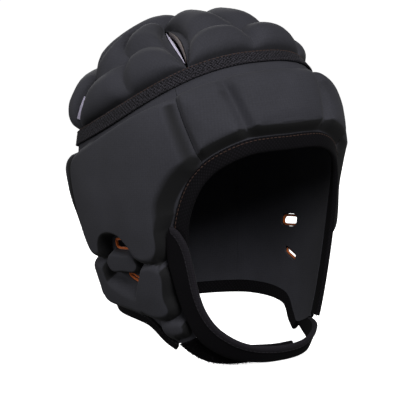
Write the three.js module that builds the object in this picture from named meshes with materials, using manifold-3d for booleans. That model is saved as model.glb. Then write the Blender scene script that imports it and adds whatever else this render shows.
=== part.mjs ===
// Padded headgear for contact sport: a soft shell of moulded foam pads that leaves the face open.
// Millimetres, +Z up. The wearer faces -Y, the wearer's left is +X, and the origin is the top of
// the hollow that the head fills. Every piece is laid on one inner surface and lifted off it along
// its normal, so walls, pads, tapes and straps share the same curve and keep their gaps.
import * as THREE from 'three';
import Module from 'manifold-3d';

const wasm = await Module();
wasm.setup();

const DEGREE = Math.PI / 180;

// Inner surface: a dome over a lower wall, every level section a rounded oval.
const DOME_HEIGHT = 88.5;
const HALF_BREADTH = 77.5;
const FRONT_REACH = 96;
const BACK_REACH = 93;
const DOME_POWER = 2.23;
const BACK_POWER = 1.62;
const PLAN_POWER = 2.44;
const LOWER_WALL = [
  { depth: 88.5, breadth: 77.5, front: 96, back: 93 },
  { depth: 108, breadth: 77.3, front: 96, back: 90 },
  { depth: 130, breadth: 75.5, front: 95, back: 81 },
  { depth: 152, breadth: 72, front: 92, back: 72.5 },
  { depth: 176, breadth: 66.5, front: 88, back: 67.5 },
  { depth: 200, breadth: 59.5, front: 84, back: 64.5 },
  { depth: 214, breadth: 54.5, front: 80.5, back: 63 },
  { depth: 234, breadth: 46, front: 67, back: 61 },
  { depth: 255, breadth: 36, front: 46, back: 58 },
];

// Walls and joints between pieces.
const GAP = 0.3;
const HIDDEN_GAP = 0.5;
const FLANGE = 3;
const MM_PER_DEGREE = 1.45;
const DOME_MM_PER_DEGREE = 1.55;

// Woven tape round the head, over the joint of crown and band. Its middle line dips to the back.
const TAPE_LEVEL = 58.1;
const TAPE_TILT = 0.364;
const TAPE_BOW = 0.00171;
const TAPE_HALF_WIDTH = 5.2;
const TAPE_THICKNESS = 1.5;
const TAPE_STEPS = 60;

// Crown: four quilted petals that meet on top, with an open slit vent between neighbours.
// Places on the dome are degrees from its top: across to the left, along to the back.
const CROWN_PAD = 13;
const CROWN_ROUNDING = 16;
const CROWN_FULLNESS = 0.8;
const CROWN_SEAM_LEFT = 0.45;
const CROWN_SEAM_ROUNDING = 11;
// Border of a petal beside an open slit: a flat flange, then the rounding up to the pad.
const PLAIN_BORDER = { flange: 4.5, rounding: 16 };
const STEEP_BORDER = { flange: 1, rounding: 7 };
const WIDE_BORDER = { flange: 7, rounding: 22 };
const SLIT_FULLNESS = 0.8;
const TAPE_ROOM = 0.6;
const TAPE_FLANGE = 1.2;
const APEX = { across: 15.6, along: 2.1, clear: 0.8, pull: 8 };
const FRONT_SLIT = { footTurn: 40.2, opensAt: 0.02, closesAt: 0.93, width: 6.5 };
const REAR_SLIT = { footTurn: 124, opensAt: 0.56, closesAt: 0.93, width: 5.5 };
const SIDE_COLUMN = 0.45;
const QUILT_STEPS = [0, 0.12, 0.36, 0.66, 0.9];
const LINING_WALL = 0.5;
const LINING_CLEAR = 0.4;
const LINING_FOOT = 0.2;
const LINING_HEIGHT = 3.4;
const LINING_END = 0.12;
const LINING_STEPS = 8;

// Band pads: a flange under the tape, a bevel, a plateau, and a steep bevel above the binding.
const BAND_PAD = 10.2;
const BAND_FLANGE = 9;
const BAND_BEVEL = 9;
const CHANNEL = { left: 0.5, floor: 1, rounding: 10 };
const FRONT_PANEL = { topTurn: 48.4, foot: 0.252, lean: 1.55, clear: 0.001, channelAt: 0.212, lip: 2, bevel: 7.5 };
const FRONT_COLUMNS = [0, 0.03, 0.07, 0.13, 0.18, 0.212, 0.244, 0.29, 0.38];
const FRONT_ROWS = [0, 0.05, 0.14, 0.3, 0.56, 0.77, 0.87, 0.94];
const BACK_PANEL = { turn: 128, channelDepth: 154, lip: 1.5, bevel: 6 };
const BACK_COLUMNS = [0, 0.02, 0.05, 0.12, 0.28, 0.4, 0.46];
const BACK_ROWS = [0, 0.04, 0.12, 0.35, 0.555, 0.62, 0.646, 0.675, 0.73, 0.89, 0.968];
const SIDE_PANEL = { joint: 0.26 };
const SIDE_COLUMNS = [0, 0.08, 0.16, 0.24, 0.32, 0.41, 0.5, 0.59, 0.68, 0.77, 0.88, 1];
const SIDE_ROWS = [0, 0.13, SIDE_PANEL.joint, 0.37, 0.48, 0.6, 0.73, 0.87, 1];

// Edge of the face opening, from the middle of the brow down to the end of the jaw flap.
const FACE_EDGE = [
  { turn: 0, depth: 76.5 },
  { turn: 9, depth: 76.4 },
  { turn: 17.6, depth: 77.4 },
  { turn: 25.8, depth: 81.2 },
  { turn: 33.9, depth: 87.9 },
  { turn: 38.1, depth: 93.6 },
  { turn: 42.6, depth: 102.1 },
  { turn: 46.7, depth: 114.3 },
  { turn: 49.2, depth: 124.6 },
  { turn: 50.8, depth: 135 },
  { turn: 51.2, depth: 150 },
  { turn: 50.5, depth: 165 },
  { turn: 49, depth: 181 },
  { turn: 46.8, depth: 198 },
  { turn: 45.2, depth: 210.6 },
];
// Lower edge of the shell, from the end of the jaw flap back to the nape.
const LOWER_EDGE = [
  { turn: 45.2, depth: 210.6 },
  { turn: 52, depth: 214.2 },
  { turn: 61.3, depth: 216.4 },
  { turn: 69.5, depth: 211 },
  { turn: 76.5, depth: 203.5 },
  { turn: 83, depth: 198.7 },
  { turn: 97, depth: 194.6 },
  { turn: 118, depth: 191.6 },
  { turn: 128, depth: 191 },
];
const JAW_END_ROWS = 2;
const BINDING_WIDTH = 9.6;
const NAPE_BINDING_WIDTH = 8;
const BINDING_HEIGHT = 4.2;
const BINDING_FOOT = 0.2;
const BINDING_ROUNDING = 1.2;
const BINDING_BITE = 1.5;
const BINDING_END = 0.004;
const PATH_STEP = 0.004;
const FACE_BINDING_STEPS = 48;
const NAPE_BINDING_STEPS = 36;

// Bevel of a raised pad: how far out from its crest, in bevel widths, and the share of its height.
const PAD_BEVEL = [
  { out: 0.35, height: 0.68 },
  { out: 0, height: 0.93 },
  { out: -0.45, height: 1 },
];
const PAD_SUNK = 1.4;
const PLATEAU_CROWN = 0.6;
// Raised pads of a side panel: the crest outline of each, its height and the width of its bevel.
const SIDE_PADS = [
  {
    height: BAND_PAD,
    bevel: 6.5,
    points: 34,
    rings: [0.5],
    centre: { turn: 86, depth: 108 },
    crest: [
      { turn: 48.9, depth: 54 },
      { turn: 62, depth: 60 },
      { turn: 80, depth: 69.5 },
      { turn: 99, depth: 79 },
      { turn: 118, depth: 87.5 },
      { turn: 121.5, depth: 93 },
      { turn: 121, depth: 120 },
      { turn: 118, depth: 143 },
      { turn: 113, depth: 151 },
      { turn: 105.5, depth: 150.5 },
      { turn: 103, depth: 144 },
      { turn: 98.5, depth: 138 },
      { turn: 91, depth: 135.6 },
      { turn: 84, depth: 138.2 },
      { turn: 78.5, depth: 145 },
      { turn: 74.5, depth: 153.5 },
      { turn: 68, depth: 155.6 },
      { turn: 62, depth: 151 },
      { turn: 59.2, depth: 132 },
      { turn: 56.6, depth: 115 },
      { turn: 48, depth: 95 },
      { turn: 41.8, depth: 84.5 },
      { turn: 44.8, depth: 71 },
    ],
  },
  {
    height: 7.5,
    bevel: 3,
    points: 16,
    rings: [],
    centre: { turn: 88.5, depth: 158 },
    crest: [
      { turn: 99, depth: 154 },
      { turn: 88, depth: 153.2 },
      { turn: 76.7, depth: 153.6 },
      { turn: 74.6, depth: 158.5 },
      { turn: 77.7, depth: 162.6 },
      { turn: 89, depth: 163.4 },
      { turn: 99.5, depth: 163.6 },
      { turn: 101.5, depth: 159 },
    ],
  },
  {
    height: 8.8,
    bevel: 4.5,
    points: 24,
    rings: [],
    centre: { turn: 100, depth: 181 },
    crest: [
      { turn: 121.5, depth: 161 },
      { turn: 112, depth: 160 },
      { turn: 107.5, depth: 163 },
      { turn: 106, depth: 170.5 },
      { turn: 97, depth: 174.6 },
      { turn: 90.5, depth: 177.5 },
      { turn: 86.5, depth: 182.6 },
      { turn: 79, depth: 185.5 },
      { turn: 75.5, depth: 189 },
      { turn: 79, depth: 191.6 },
      { turn: 89, depth: 190 },
      { turn: 103, depth: 187.6 },
      { turn: 119, depth: 185 },
      { turn: 122, depth: 180 },
    ],
  },
  {
    height: 8.6,
    bevel: 4.5,
    points: 18,
    rings: [],
    centre: { turn: 68, depth: 176 },
    crest: [
      { turn: 73, depth: 162.5 },
      { turn: 60.5, depth: 162 },
      { turn: 58.3, depth: 166 },
      { turn: 58.6, depth: 180 },
      { turn: 57, depth: 190 },
      { turn: 62, depth: 194 },
      { turn: 77, depth: 192 },
      { turn: 81, depth: 187 },
      { turn: 79.4, depth: 176.5 },
      { turn: 76, depth: 166 },
    ],
  },
  {
    height: 5,
    bevel: 3,
    points: 12,
    rings: [],
    centre: { turn: 60, depth: 204.6 },
    crest: [
      { turn: 67.5, depth: 203 },
      { turn: 60, depth: 201.4 },
      { turn: 53, depth: 201.6 },
      { turn: 52.3, depth: 205.6 },
      { turn: 59, depth: 208 },
      { turn: 66.5, depth: 206.6 },
    ],
  },
];
// Ports over the ear, cut through the side panel, and the bright edging inside each.
const EAR_PORTS = [
  { name: 'upper', turn: 90, depth: 145.6, halfLength: 10.5, halfHeight: 4.6, drop: 0 },
  { name: 'lower', turn: 85.5, depth: 169.6, halfLength: 8.6, halfHeight: 3, drop: 0.36 },
];
const PORT_POINTS = 14;
const PORT_SQUARENESS = 0.7;
const EDGING = 1.8;

// Hook strap: from its free end on the right cheek, under the chin, to the left jaw flap.
// Each row is a place on its outer edge, one on its inner edge, and its lift off the head.
const HOOK_STRAP = [
  { outerTurn: -52.3, outerDepth: 132.2, innerTurn: -51.2, innerDepth: 131.6, lift: 5.4 },
  { outerTurn: -54, outerDepth: 139, innerTurn: -48.4, innerDepth: 135.4, lift: 5.4 },
  { outerTurn: -55, outerDepth: 147, innerTurn: -45.6, innerDepth: 143, lift: 5.4 },
  { outerTurn: -54.9, outerDepth: 156, innerTurn: -44, innerDepth: 153, lift: 5.4 },
  { outerTurn: -54, outerDepth: 166, innerTurn: -43.1, innerDepth: 163, lift: 5.4 },
  { outerTurn: -52.7, outerDepth: 178, innerTurn: -41.8, innerDepth: 178, lift: 5.4 },
  { outerTurn: -50, outerDepth: 193.6, innerTurn: -39.2, innerDepth: 191.5, lift: 5.4 },
  { outerTurn: -44.9, outerDepth: 209, innerTurn: -34.2, innerDepth: 203.3, lift: 5.4 },
  { outerTurn: -37.4, outerDepth: 218.6, innerTurn: -28, innerDepth: 210.8, lift: 5 },
  { outerTurn: -27.5, outerDepth: 225.6, innerTurn: -20, innerDepth: 216.5, lift: 4.4 },
  { outerTurn: -14, outerDepth: 229.6, innerTurn: -10, innerDepth: 219.6, lift: 4 },
  { outerTurn: 0, outerDepth: 230.4, innerTurn: 0, innerDepth: 220.4, lift: 4 },
  { outerTurn: 14, outerDepth: 229.6, innerTurn: 10, innerDepth: 219.6, lift: 3.8 },
  { outerTurn: 30, outerDepth: 227, innerTurn: 22, innerDepth: 216.5, lift: 2 },
  { outerTurn: 47, outerDepth: 223, innerTurn: 35, innerDepth: 213.2, lift: 0.6 },
  { outerTurn: 61, outerDepth: 217.7, innerTurn: 45.4, innerDepth: 211.9, lift: 0.2 },
];
const HOOK_STRAP_THICKNESS = 2.6;
// Loop strap: sewn to the end of the right jaw flap and passing under the hook strap.
const LOOP_STRAP = [
  { outerTurn: -61, outerDepth: 217.7, innerTurn: -45.4, innerDepth: 211.9, lift: 0.2 },
  { outerTurn: -54.4, outerDepth: 223.6, innerTurn: -40.4, innerDepth: 213.4, lift: 0.2 },
  { outerTurn: -44.4, outerDepth: 229.4, innerTurn: -34, innerDepth: 215.8, lift: 0.2 },
  { outerTurn: -32.6, outerDepth: 231.8, innerTurn: -26, innerDepth: 218, lift: 0.2 },
  { outerTurn: -18, outerDepth: 231.6, innerTurn: -14, innerDepth: 219.6, lift: 0.2 },
  { outerTurn: -4, outerDepth: 231.2, innerTurn: -4, innerDepth: 220.4, lift: 0.2 },
  { outerTurn: 6, outerDepth: 231, innerTurn: 6, innerDepth: 220.4, lift: 0.2 },
];
const LOOP_STRAP_THICKNESS = 2.8;
const STRAP_STEPS = 36;

const blend = (from, to, part) => from + (to - from) * part;
const pairBlend = (from, to, part) => from.map((value, i) => blend(value, to[i], part));

// Row of a table at a value of its first column, on smooth curves that start level.
function smoothRow(rows, key, at) {
  const last = rows.length - 2;
  let i = rows.findIndex((row, index) => index > 0 && at < row[key]) - 1;
  i = i < 0 ? last : i;
  const [before, start, end, after] = [i - 1, i, i + 1, i + 2].map(
    (index) => rows[Math.min(Math.max(index, 0), last + 1)]);
  const span = end[key] - start[key];
  const f = (at - start[key]) / span;
  const row = {};
  for (const column of Object.keys(start)) {
    const leave = i === 0 ? 0 : span * (end[column] - before[column]) / (end[key] - before[key]);
    const arrive = span * (after[column] - start[column]) / (after[key] - start[key]);
    row[column] = start[column] * (2 * f ** 3 - 3 * f ** 2 + 1) + leave * (f ** 3 - 2 * f ** 2 + f)
      + end[column] * (3 * f ** 2 - 2 * f ** 3) + arrive * (f ** 3 - f ** 2);
  }
  return row;
}

// Level section of the inner surface at a depth below its top.
function section(depth) {
  if (depth >= DOME_HEIGHT) {
    return smoothRow(LOWER_WALL, 'depth', depth);
  }
  const rise = 1 - depth / DOME_HEIGHT;
  const profile = (reach, power) => reach * (1 - rise ** power) ** (1 / power);
  return {
    breadth: profile(HALF_BREADTH, DOME_POWER),
    front: profile(FRONT_REACH, DOME_POWER),
    back: profile(BACK_REACH, BACK_POWER),
  };
}

// Point of the inner surface at a turn from the front, positive to the left, and a depth.
function wallPoint([turn, depth]) {
  const { breadth, front, back } = section(depth);
  const sideways = Math.sin(turn * DEGREE);
  const ahead = Math.cos(turn * DEGREE);
  const reach = ahead > 0 ? front : back;
  const oval = Math.abs(sideways / breadth) ** PLAN_POWER + Math.abs(ahead / reach) ** PLAN_POWER;
  const radius = depth > 0 ? oval ** (-1 / PLAN_POWER) : 0;
  return new THREE.Vector3(radius * sideways, -radius * ahead, -depth);
}

// Slope, in degrees from the top, of a wall point seen from the middle of the widest girth.
function slopeOf(turn, depth) {
  const point = wallPoint([turn, depth]);
  return Math.atan2(Math.hypot(point.x, point.y), DOME_HEIGHT - depth) / DEGREE;
}

// Value between low and high where a rising measure reaches zero.
function solve(measure, low, high) {
  for (let step = 0; step < 40; step += 1) {
    const middle = (low + high) / 2;
    if (measure(middle) < 0) {
      low = middle;
    } else {
      high = middle;
    }
  }
  return (low + high) / 2;
}

// Point of the dome in degrees across and along from its top.
function domePoint([across, along]) {
  const turn = Math.atan2(across, -along) / DEGREE;
  const slope = Math.hypot(across, along);
  return wallPoint([turn, solve((depth) => slopeOf(turn, depth) - slope, 0, DOME_HEIGHT)]);
}

// A place on the inner surface moved out along the surface's normal.
function lifted(surface, place, lift) {
  const reach = 0.2;
  const step = (i, way) => surface(place.map((value, k) => (k === i ? value + way * reach : value)));
  const point = surface(place);
  const normal = step(0, 1).sub(step(0, -1)).cross(step(1, 1).sub(step(1, -1))).normalize();
  const outward = point.clone().setZ(point.z + DOME_HEIGHT);
  return point.addScaledVector(normal, normal.dot(outward) < 0 ? -lift : lift);
}

// Patch between four edge curves: first and second run from top to bottom.
function patch(first, second, top, bottom) {
  return (s, t) => top(s).map((value, i) => {
    const across = blend(first(t)[i], second(t)[i], s);
    const down = blend(value, bottom(s)[i], t);
    const corners = blend(blend(first(0)[i], second(0)[i], s), blend(first(1)[i], second(1)[i], s), t);
    return across + down - corners;
  });
}

// Smooth curve through the rows of a table, given back as a place for 0 to 1.
function curveThrough(rows, columns, mirror = 1) {
  const points = rows.map((row) => {
    const values = columns.map((column) => (column === 'turn' ? mirror * row[column] : row[column]));
    return new THREE.Vector3(values[0], values[1], values[2] ?? 0);
  });
  const curve = new THREE.CatmullRomCurve3(points, false, 'centripetal');
  curve.arcLengthDivisions = 600;
  return (part) => curve.getPointAt(part).toArray().slice(0, columns.length);
}

// Closed body from points and triangles: equal points are merged and the faces are turned out.
function body(points, triangles) {
  const index = new Map();
  const unique = [];
  const merged = points.map((point) => {
    const key = point.toArray().map((value) => value.toFixed(3)).join();
    if (!index.has(key)) {
      index.set(key, unique.length);
      unique.push(point);
    }
    return index.get(key);
  });
  const faces = triangles.map((face) => face.map((corner) => merged[corner]))
    .filter(([a, b, c]) => a !== b && b !== c && c !== a);
  const volume = faces.reduce((sum, [a, b, c]) =>
    sum + unique[a].dot(unique[b].clone().cross(unique[c])), 0);
  const geometry = new THREE.BufferGeometry();
  const order = volume < 0 ? faces.map(([a, b, c]) => [a, c, b]) : faces;
  geometry.setAttribute('position',
    new THREE.Float32BufferAttribute(unique.flatMap((point) => point.toArray()), 3));
  geometry.setIndex(order.flat());
  return geometry;
}

// Wall over a grid of places, from its inner face to its outer face.
function wall(surface, place, columns, rows, outer) {
  const points = [];
  const triangles = [];
  const width = columns.length;
  const sheet = width * rows.length;
  const quad = (a, b, c, d) => triangles.push([a, b, c], [a, c, d]);
  for (const layer of [0, 1]) {
    for (const t of rows) {
      for (const s of columns) {
        const [u, v] = typeof t === 'function' ? [s, t(s)] : [s, t];
        points.push(lifted(surface, place(u, v), layer ? outer(u, v) : 0));
      }
    }
  }
  for (let row = 0; row + 1 < rows.length; row += 1) {
    for (let column = 0; column + 1 < width; column += 1) {
      const a = row * width + column;
      quad(a, a + 1, a + width + 1, a + width);
      quad(sheet + a, sheet + a + width, sheet + a + width + 1, sheet + a + 1);
    }
  }
  const rim = [];
  for (let column = 0; column < width; column += 1) {
    rim.push(column);
  }
  for (let row = 1; row < rows.length; row += 1) {
    rim.push(row * width + width - 1);
  }
  for (let column = width - 2; column >= 0; column -= 1) {
    rim.push((rows.length - 1) * width + column);
  }
  for (let row = rows.length - 2; row > 0; row -= 1) {
    rim.push(row * width);
  }
  rim.forEach((a, i) => {
    const b = rim[(i + 1) % rim.length];
    quad(b, a, sheet + a, sheet + b);
  });
  return body(points, triangles);
}

// Body through a row of equal rings, closed on itself or with an end face at each end.
function loft(rings, closed) {
  const sides = rings[0].length;
  const points = rings.flat();
  const triangles = [];
  const last = closed ? rings.length : rings.length - 1;
  for (let i = 0; i < last; i += 1) {
    const here = i * sides;
    const next = ((i + 1) % rings.length) * sides;
    for (let k = 0; k < sides; k += 1) {
      const after = (k + 1) % sides;
      triangles.push([here + k, here + after, next + after], [here + k, next + after, next + k]);
    }
  }
  if (!closed) {
    const end = points.length - sides;
    for (let k = 1; k + 1 < sides; k += 1) {
      triangles.push([0, k + 1, k], [end, end + k, end + k + 1]);
    }
  }
  return body(points, triangles);
}

// Strip along a path on the wall: each corner of its section is [sideways mm, lift].
function strip(path, sectionAt, steps, closed = false) {
  const places = [];
  const count = closed ? steps : steps + 1;
  for (let i = 0; i < count; i += 1) {
    places.push(i / steps);
  }
  const rings = places.map((part) => {
    const wrap = (value) => (closed ? (value + 1) % 1 : Math.min(Math.max(value, 0), 1));
    const here = path(part);
    const ahead = wallPoint(path(wrap(part + PATH_STEP))).sub(wallPoint(path(wrap(part - PATH_STEP))));
    const normal = lifted(wallPoint, here, 1).sub(wallPoint(here));
    const sideways = normal.clone().cross(ahead).normalize();
    return sectionAt(part).map(([offset, lift]) =>
      wallPoint(here).addScaledVector(sideways, offset).addScaledVector(normal, lift));
  });
  return loft(rings, closed);
}

const toManifold = (geometry) => new wasm.Manifold(new wasm.Mesh({
  numProp: 3,
  vertProperties: new Float32Array(geometry.attributes.position.array),
  triVerts: new Uint32Array(geometry.index.array),
}));

function fromManifold(solid) {
  const mesh = solid.getMesh();
  const geometry = new THREE.BufferGeometry();
  geometry.setAttribute('position', new THREE.Float32BufferAttribute(mesh.vertProperties, 3));
  geometry.setIndex(Array.from(mesh.triVerts));
  return geometry;
}

// Rise of a pad beside a seam: nothing at the seam, then a quarter round up to the full height.
function rise(distance, rounding) {
  const part = Math.min(Math.max(distance / rounding, 0), 1);
  return Math.sqrt(1 - (1 - part) ** 2);
}

// Crown tape: depth of its middle line, and that line in dome degrees.
function tapeDepth(turn) {
  return solve((depth) => {
    const along = wallPoint([turn, depth]).y;
    return depth - TAPE_LEVEL - TAPE_TILT * along + TAPE_BOW * along ** 2;
  }, 2, DOME_HEIGHT);
}

function tapeOnDome(turn) {
  const slope = slopeOf(turn, tapeDepth(turn));
  return [slope * Math.sin(turn * DEGREE), -slope * Math.cos(turn * DEGREE)];
}

// Opening of a slit vent, in millimetres, from its upper end at 0 to the tape at 1.
function slitOpening(slit, part) {
  const inside = (part - slit.opensAt) / (slit.closesAt - slit.opensAt);
  return inside > 0 && inside < 1 ? slit.width * Math.sin(Math.PI * inside) ** SLIT_FULLNESS : 0;
}

// Middle line of a slit and of the seam above it, from the crown's top to the tape.
function slitLine(slit, side) {
  const top = [side * APEX.across, APEX.along];
  const foot = tapeOnDome(side * slit.footTurn);
  return (part) => pairBlend(top, foot, part);
}

// Edge of a petal beside a slit, moved off the slit's middle line by half of its opening.
function petalEdge(slit, side, way) {
  const line = slitLine(slit, side);
  const [across, along] = line(1).map((value, i) => value - line(0)[i]);
  const length = Math.hypot(across, along);
  const start = GAP / DOME_MM_PER_DEGREE / length;
  return (share) => {
    const part = blend(start, 1, share);
    const offset = way * (slitOpening(slit, part) + GAP) / 2 / DOME_MM_PER_DEGREE;
    return [line(part)[0] - offset * along / length, line(part)[1] + offset * across / length];
  };
}

// Quilted petal between two slits: two rows and two columns of pads with sewn valleys between.
function petal({ sides, turns, columnAt, columnLean, rowAt, apex }) {
  const clear = Math.sign(turns[1] - turns[0]) * GAP / DOME_MM_PER_DEGREE;
  const bottom = (s) => {
    const [across, along] = tapeOnDome(blend(turns[0] + clear, turns[1] - clear, s));
    const keep = 1 - HIDDEN_GAP / DOME_MM_PER_DEGREE / Math.hypot(across, along);
    return [across * keep, along * keep];
  };
  const [first, second] = sides.map(({ slit, side, way }, s) => {
    const edge = petalEdge(slit, side, way);
    const tip = apex ?? edge(0);
    return (t) => edge(t).map((value, i) =>
      value + t * (bottom(s)[i] - edge(1)[i]) + (1 - t) ** APEX.pull * (tip[i] - edge(0)[i]));
  });
  const upright = patch(first, second, (s) => pairBlend(first(0), second(0), s), bottom);
  const place = (s, t) => {
    const seam = columnLean(t);
    return upright(s < columnAt ? s * seam / columnAt : blend(seam, 1, (s - columnAt) / (1 - columnAt)), t);
  };
  const between = (a, b) => domePoint(a).distanceTo(domePoint(b));
  const outer = (s, t) => {
    const away = (at) => between(place(s, t), at);
    const column = place(columnAt, t);
    const rims = [place(0, t), place(1, t)];
    const room = between(column, rims[s < columnAt ? 0 : 1]) / 2;
    const within = (rounding) => Math.max(Math.min(rounding, room), GAP);
    const rim = ({ slit, border }, at) => {
      const open = slitOpening(slit, t) / slit.width;
      return rise(away(at) - border.flange * open, within(blend(CROWN_ROUNDING, border.rounding, open)));
    };
    const seam = (at, rounding) => blend(CROWN_SEAM_LEFT, 1, rise(away(at), rounding));
    const pad = seam(column, within(CROWN_SEAM_ROUNDING))
      * seam(place(s, rowAt(s)), CROWN_SEAM_ROUNDING)
      * rim(sides[0], rims[0]) * rim(sides[1], rims[1])
      * rise(away(place(s, 0)), CROWN_ROUNDING)
      * rise(away(place(s, 1)) - TAPE_HALF_WIDTH - TAPE_FLANGE, CROWN_ROUNDING);
    return FLANGE + CROWN_PAD * pad ** CROWN_FULLNESS;
  };
  const columns = [
    ...QUILT_STEPS.map((step) => step * columnAt),
    ...QUILT_STEPS.map((step) => blend(columnAt, 1, step)),
    1,
  ];
  const tapeEdge = (s) => {
    const lowerQuilt = between(place(s, rowAt(s)), place(s, 1));
    return 1 - (1 - rowAt(s)) * (TAPE_HALF_WIDTH + TAPE_ROOM) / lowerQuilt;
  };
  const rows = [
    ...QUILT_STEPS.map((step) => (s) => step * rowAt(s)),
    ...QUILT_STEPS.map((step) => (s) => blend(rowAt(s), tapeEdge(s), step)),
    tapeEdge,
    () => 1,
  ];
  return wall(domePoint, place, columns, rows, outer);
}

// Lining folded up round the inside of a slit vent: a thin closed wall that follows its edge.
function ventLining(slit, side) {
  const line = slitLine(slit, side);
  const halves = [1, -1].map((way) => {
    const edge = petalEdge(slit, side, way);
    const run = [];
    for (let i = 0; i <= LINING_STEPS; i += 1) {
      const inside = blend(LINING_END, 1 - LINING_END, i / LINING_STEPS);
      const part = blend(slit.opensAt, slit.closesAt, inside);
      run.push((clear) => {
        const [middle, rim] = [line(part), edge(part)];
        const width = DOME_MM_PER_DEGREE * Math.hypot(rim[0] - middle[0], rim[1] - middle[1]);
        return pairBlend(rim, middle, clear / width);
      });
    }
    return run;
  });
  const loop = [...halves[0], ...halves[1].reverse()];
  return loft(loop.map((at) => [
    lifted(domePoint, at(LINING_CLEAR), LINING_FOOT),
    lifted(domePoint, at(LINING_CLEAR + LINING_WALL), LINING_FOOT),
    lifted(domePoint, at(LINING_CLEAR + LINING_WALL), LINING_HEIGHT),
    lifted(domePoint, at(LINING_CLEAR), LINING_HEIGHT),
  ]), true);
}

// Line of the joint between front and side panel, from the tape to the face edge.
function frontJoint(side, shift) {
  const edge = curveThrough(FACE_EDGE, ['turn', 'depth'], side);
  const foot = edge(FRONT_PANEL.foot);
  const topTurn = side * FRONT_PANEL.topTurn;
  const top = [topTurn, tapeDepth(topTurn) + HIDDEN_GAP];
  const offset = side * shift * GAP / 2 / MM_PER_DEGREE;
  return (part) => {
    const [turn, depth] = pairBlend(top, foot, part);
    return [turn + offset, depth];
  };
}

// A panel with room cut at its edges for the two bindings.
function trimmed(geometry) {
  const face = bindingRoom(faceBindingPath, BINDING_WIDTH, FACE_BINDING_STEPS);
  const nape = bindingRoom(napeBindingPath, NAPE_BINDING_WIDTH, NAPE_BINDING_STEPS);
  return fromManifold(toManifold(geometry).subtract(face).subtract(nape));
}

// Front panel: one middle brow pad and two side brow pads with moulded channels between.
function frontPanel() {
  const edges = [-1, 1].map((side) => curveThrough(FACE_EDGE, ['turn', 'depth'], side));
  const joints = [-1, 1].map((side) => frontJoint(side, -1));
  const top = (s) => {
    const turn = blend(joints[0](0)[0], joints[1](0)[0], s);
    return [turn, tapeDepth(turn) + HIDDEN_GAP];
  };
  const lean = (s) => Math.abs(2 * s - 1) ** FRONT_PANEL.lean;
  const bottom = (s) => edges[s < 0.5 ? 0 : 1](lean(s) * (FRONT_PANEL.foot - FRONT_PANEL.clear));
  const place = patch(joints[0], joints[1], top, bottom);
  const outer = (s, t) => {
    const here = place(s, t);
    const down = (at) => Math.abs(here[1] - place(s, at)[1]);
    const beside = (at) => Math.abs(here[0] - place(at, t)[0]) * MM_PER_DEGREE;
    const channel = (at) =>
      blend(CHANNEL.left, 1, rise(beside(at) - CHANNEL.floor, CHANNEL.rounding));
    const pad = rise(down(0) - BAND_FLANGE - GAP, BAND_BEVEL)
      * rise(down(1) - FRONT_PANEL.lip, FRONT_PANEL.bevel)
      * channel(FRONT_PANEL.channelAt) * channel(1 - FRONT_PANEL.channelAt)
      * channel(0) * channel(1);
    return FLANGE + BAND_PAD * pad;
  };
  const columns = [...FRONT_COLUMNS, 0.5, ...FRONT_COLUMNS.map((value) => 1 - value).reverse()];
  const flangeAt = (s) => BAND_FLANGE / (place(s, 1)[1] - place(s, 0)[1]);
  const rows = [
    () => 0,
    ...FRONT_ROWS.map((step) => (s) => blend(flangeAt(s), 1, step)),
    () => 1,
  ];
  return trimmed(wall(wallPoint, place, columns, rows, outer));
}

// Back panel: two upper and two lower pads with channels between, plain like the sides.
function backPanel() {
  const first = BACK_PANEL.turn + GAP / 2 / MM_PER_DEGREE;
  const second = 360 - first;
  const lower = LOWER_EDGE[LOWER_EDGE.length - 1].depth;
  const upper = (turn) => tapeDepth(turn) + HIDDEN_GAP;
  const place = (s, t) => {
    const turn = blend(first, second, s);
    return [turn, blend(upper(turn), lower, t)];
  };
  const outer = (s, t) => {
    const [turn, depth] = place(s, t);
    const channel = (distance) => rise(distance - CHANNEL.floor, CHANNEL.rounding);
    const beside = (at) => channel(Math.abs(turn - at) * MM_PER_DEGREE);
    const pad = beside(first) * beside(second) * blend(CHANNEL.left, 1, beside(180))
      * channel(Math.abs(depth - BACK_PANEL.channelDepth))
      * rise(depth - upper(turn) - BAND_FLANGE - GAP, BAND_BEVEL)
      * rise(lower - depth - BACK_PANEL.lip, BACK_PANEL.bevel);
    return FLANGE + BAND_PAD * pad;
  };
  const columns = [...BACK_COLUMNS, 0.5, ...BACK_COLUMNS.map((value) => 1 - value).reverse()];
  const flangeAt = (s) => BAND_FLANGE / (lower - place(s, 0)[1]);
  const rows = [
    () => 0,
    ...BACK_ROWS.map((step) => (s) => blend(flangeAt(s), 1, step)),
    () => 1,
  ];
  return trimmed(wall(wallPoint, place, columns, rows, outer));
}

// Closed outline through the rows of a crest, evenly spaced, in millimetres of girth and depth.
function crestOutline(rows, side, count) {
  const points = rows.map(({ turn, depth }) => new THREE.Vector3(side * turn * MM_PER_DEGREE, depth, 0));
  const curve = new THREE.CatmullRomCurve3(points, true, 'centripetal');
  return curve.getSpacedPoints(count).slice(0, count);
}

// An outline moved outward, or inward where the distance is negative.
function offsetOutline(outline, distance) {
  const count = outline.length;
  const area = outline.reduce((sum, p, i) => {
    const q = outline[(i + 1) % count];
    return sum + p.x * q.y - q.x * p.y;
  }, 0);
  return outline.map((point, i) => {
    const along = outline[(i + 1) % count].clone().sub(outline[(i + count - 1) % count]).normalize();
    const out = new THREE.Vector3(along.y, -along.x, 0).multiplyScalar(Math.sign(area));
    return point.clone().addScaledVector(out, distance);
  });
}

const onWall = (outline, lift) => outline.map((point) =>
  lifted(wallPoint, [point.x / MM_PER_DEGREE, point.y], lift));

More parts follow.
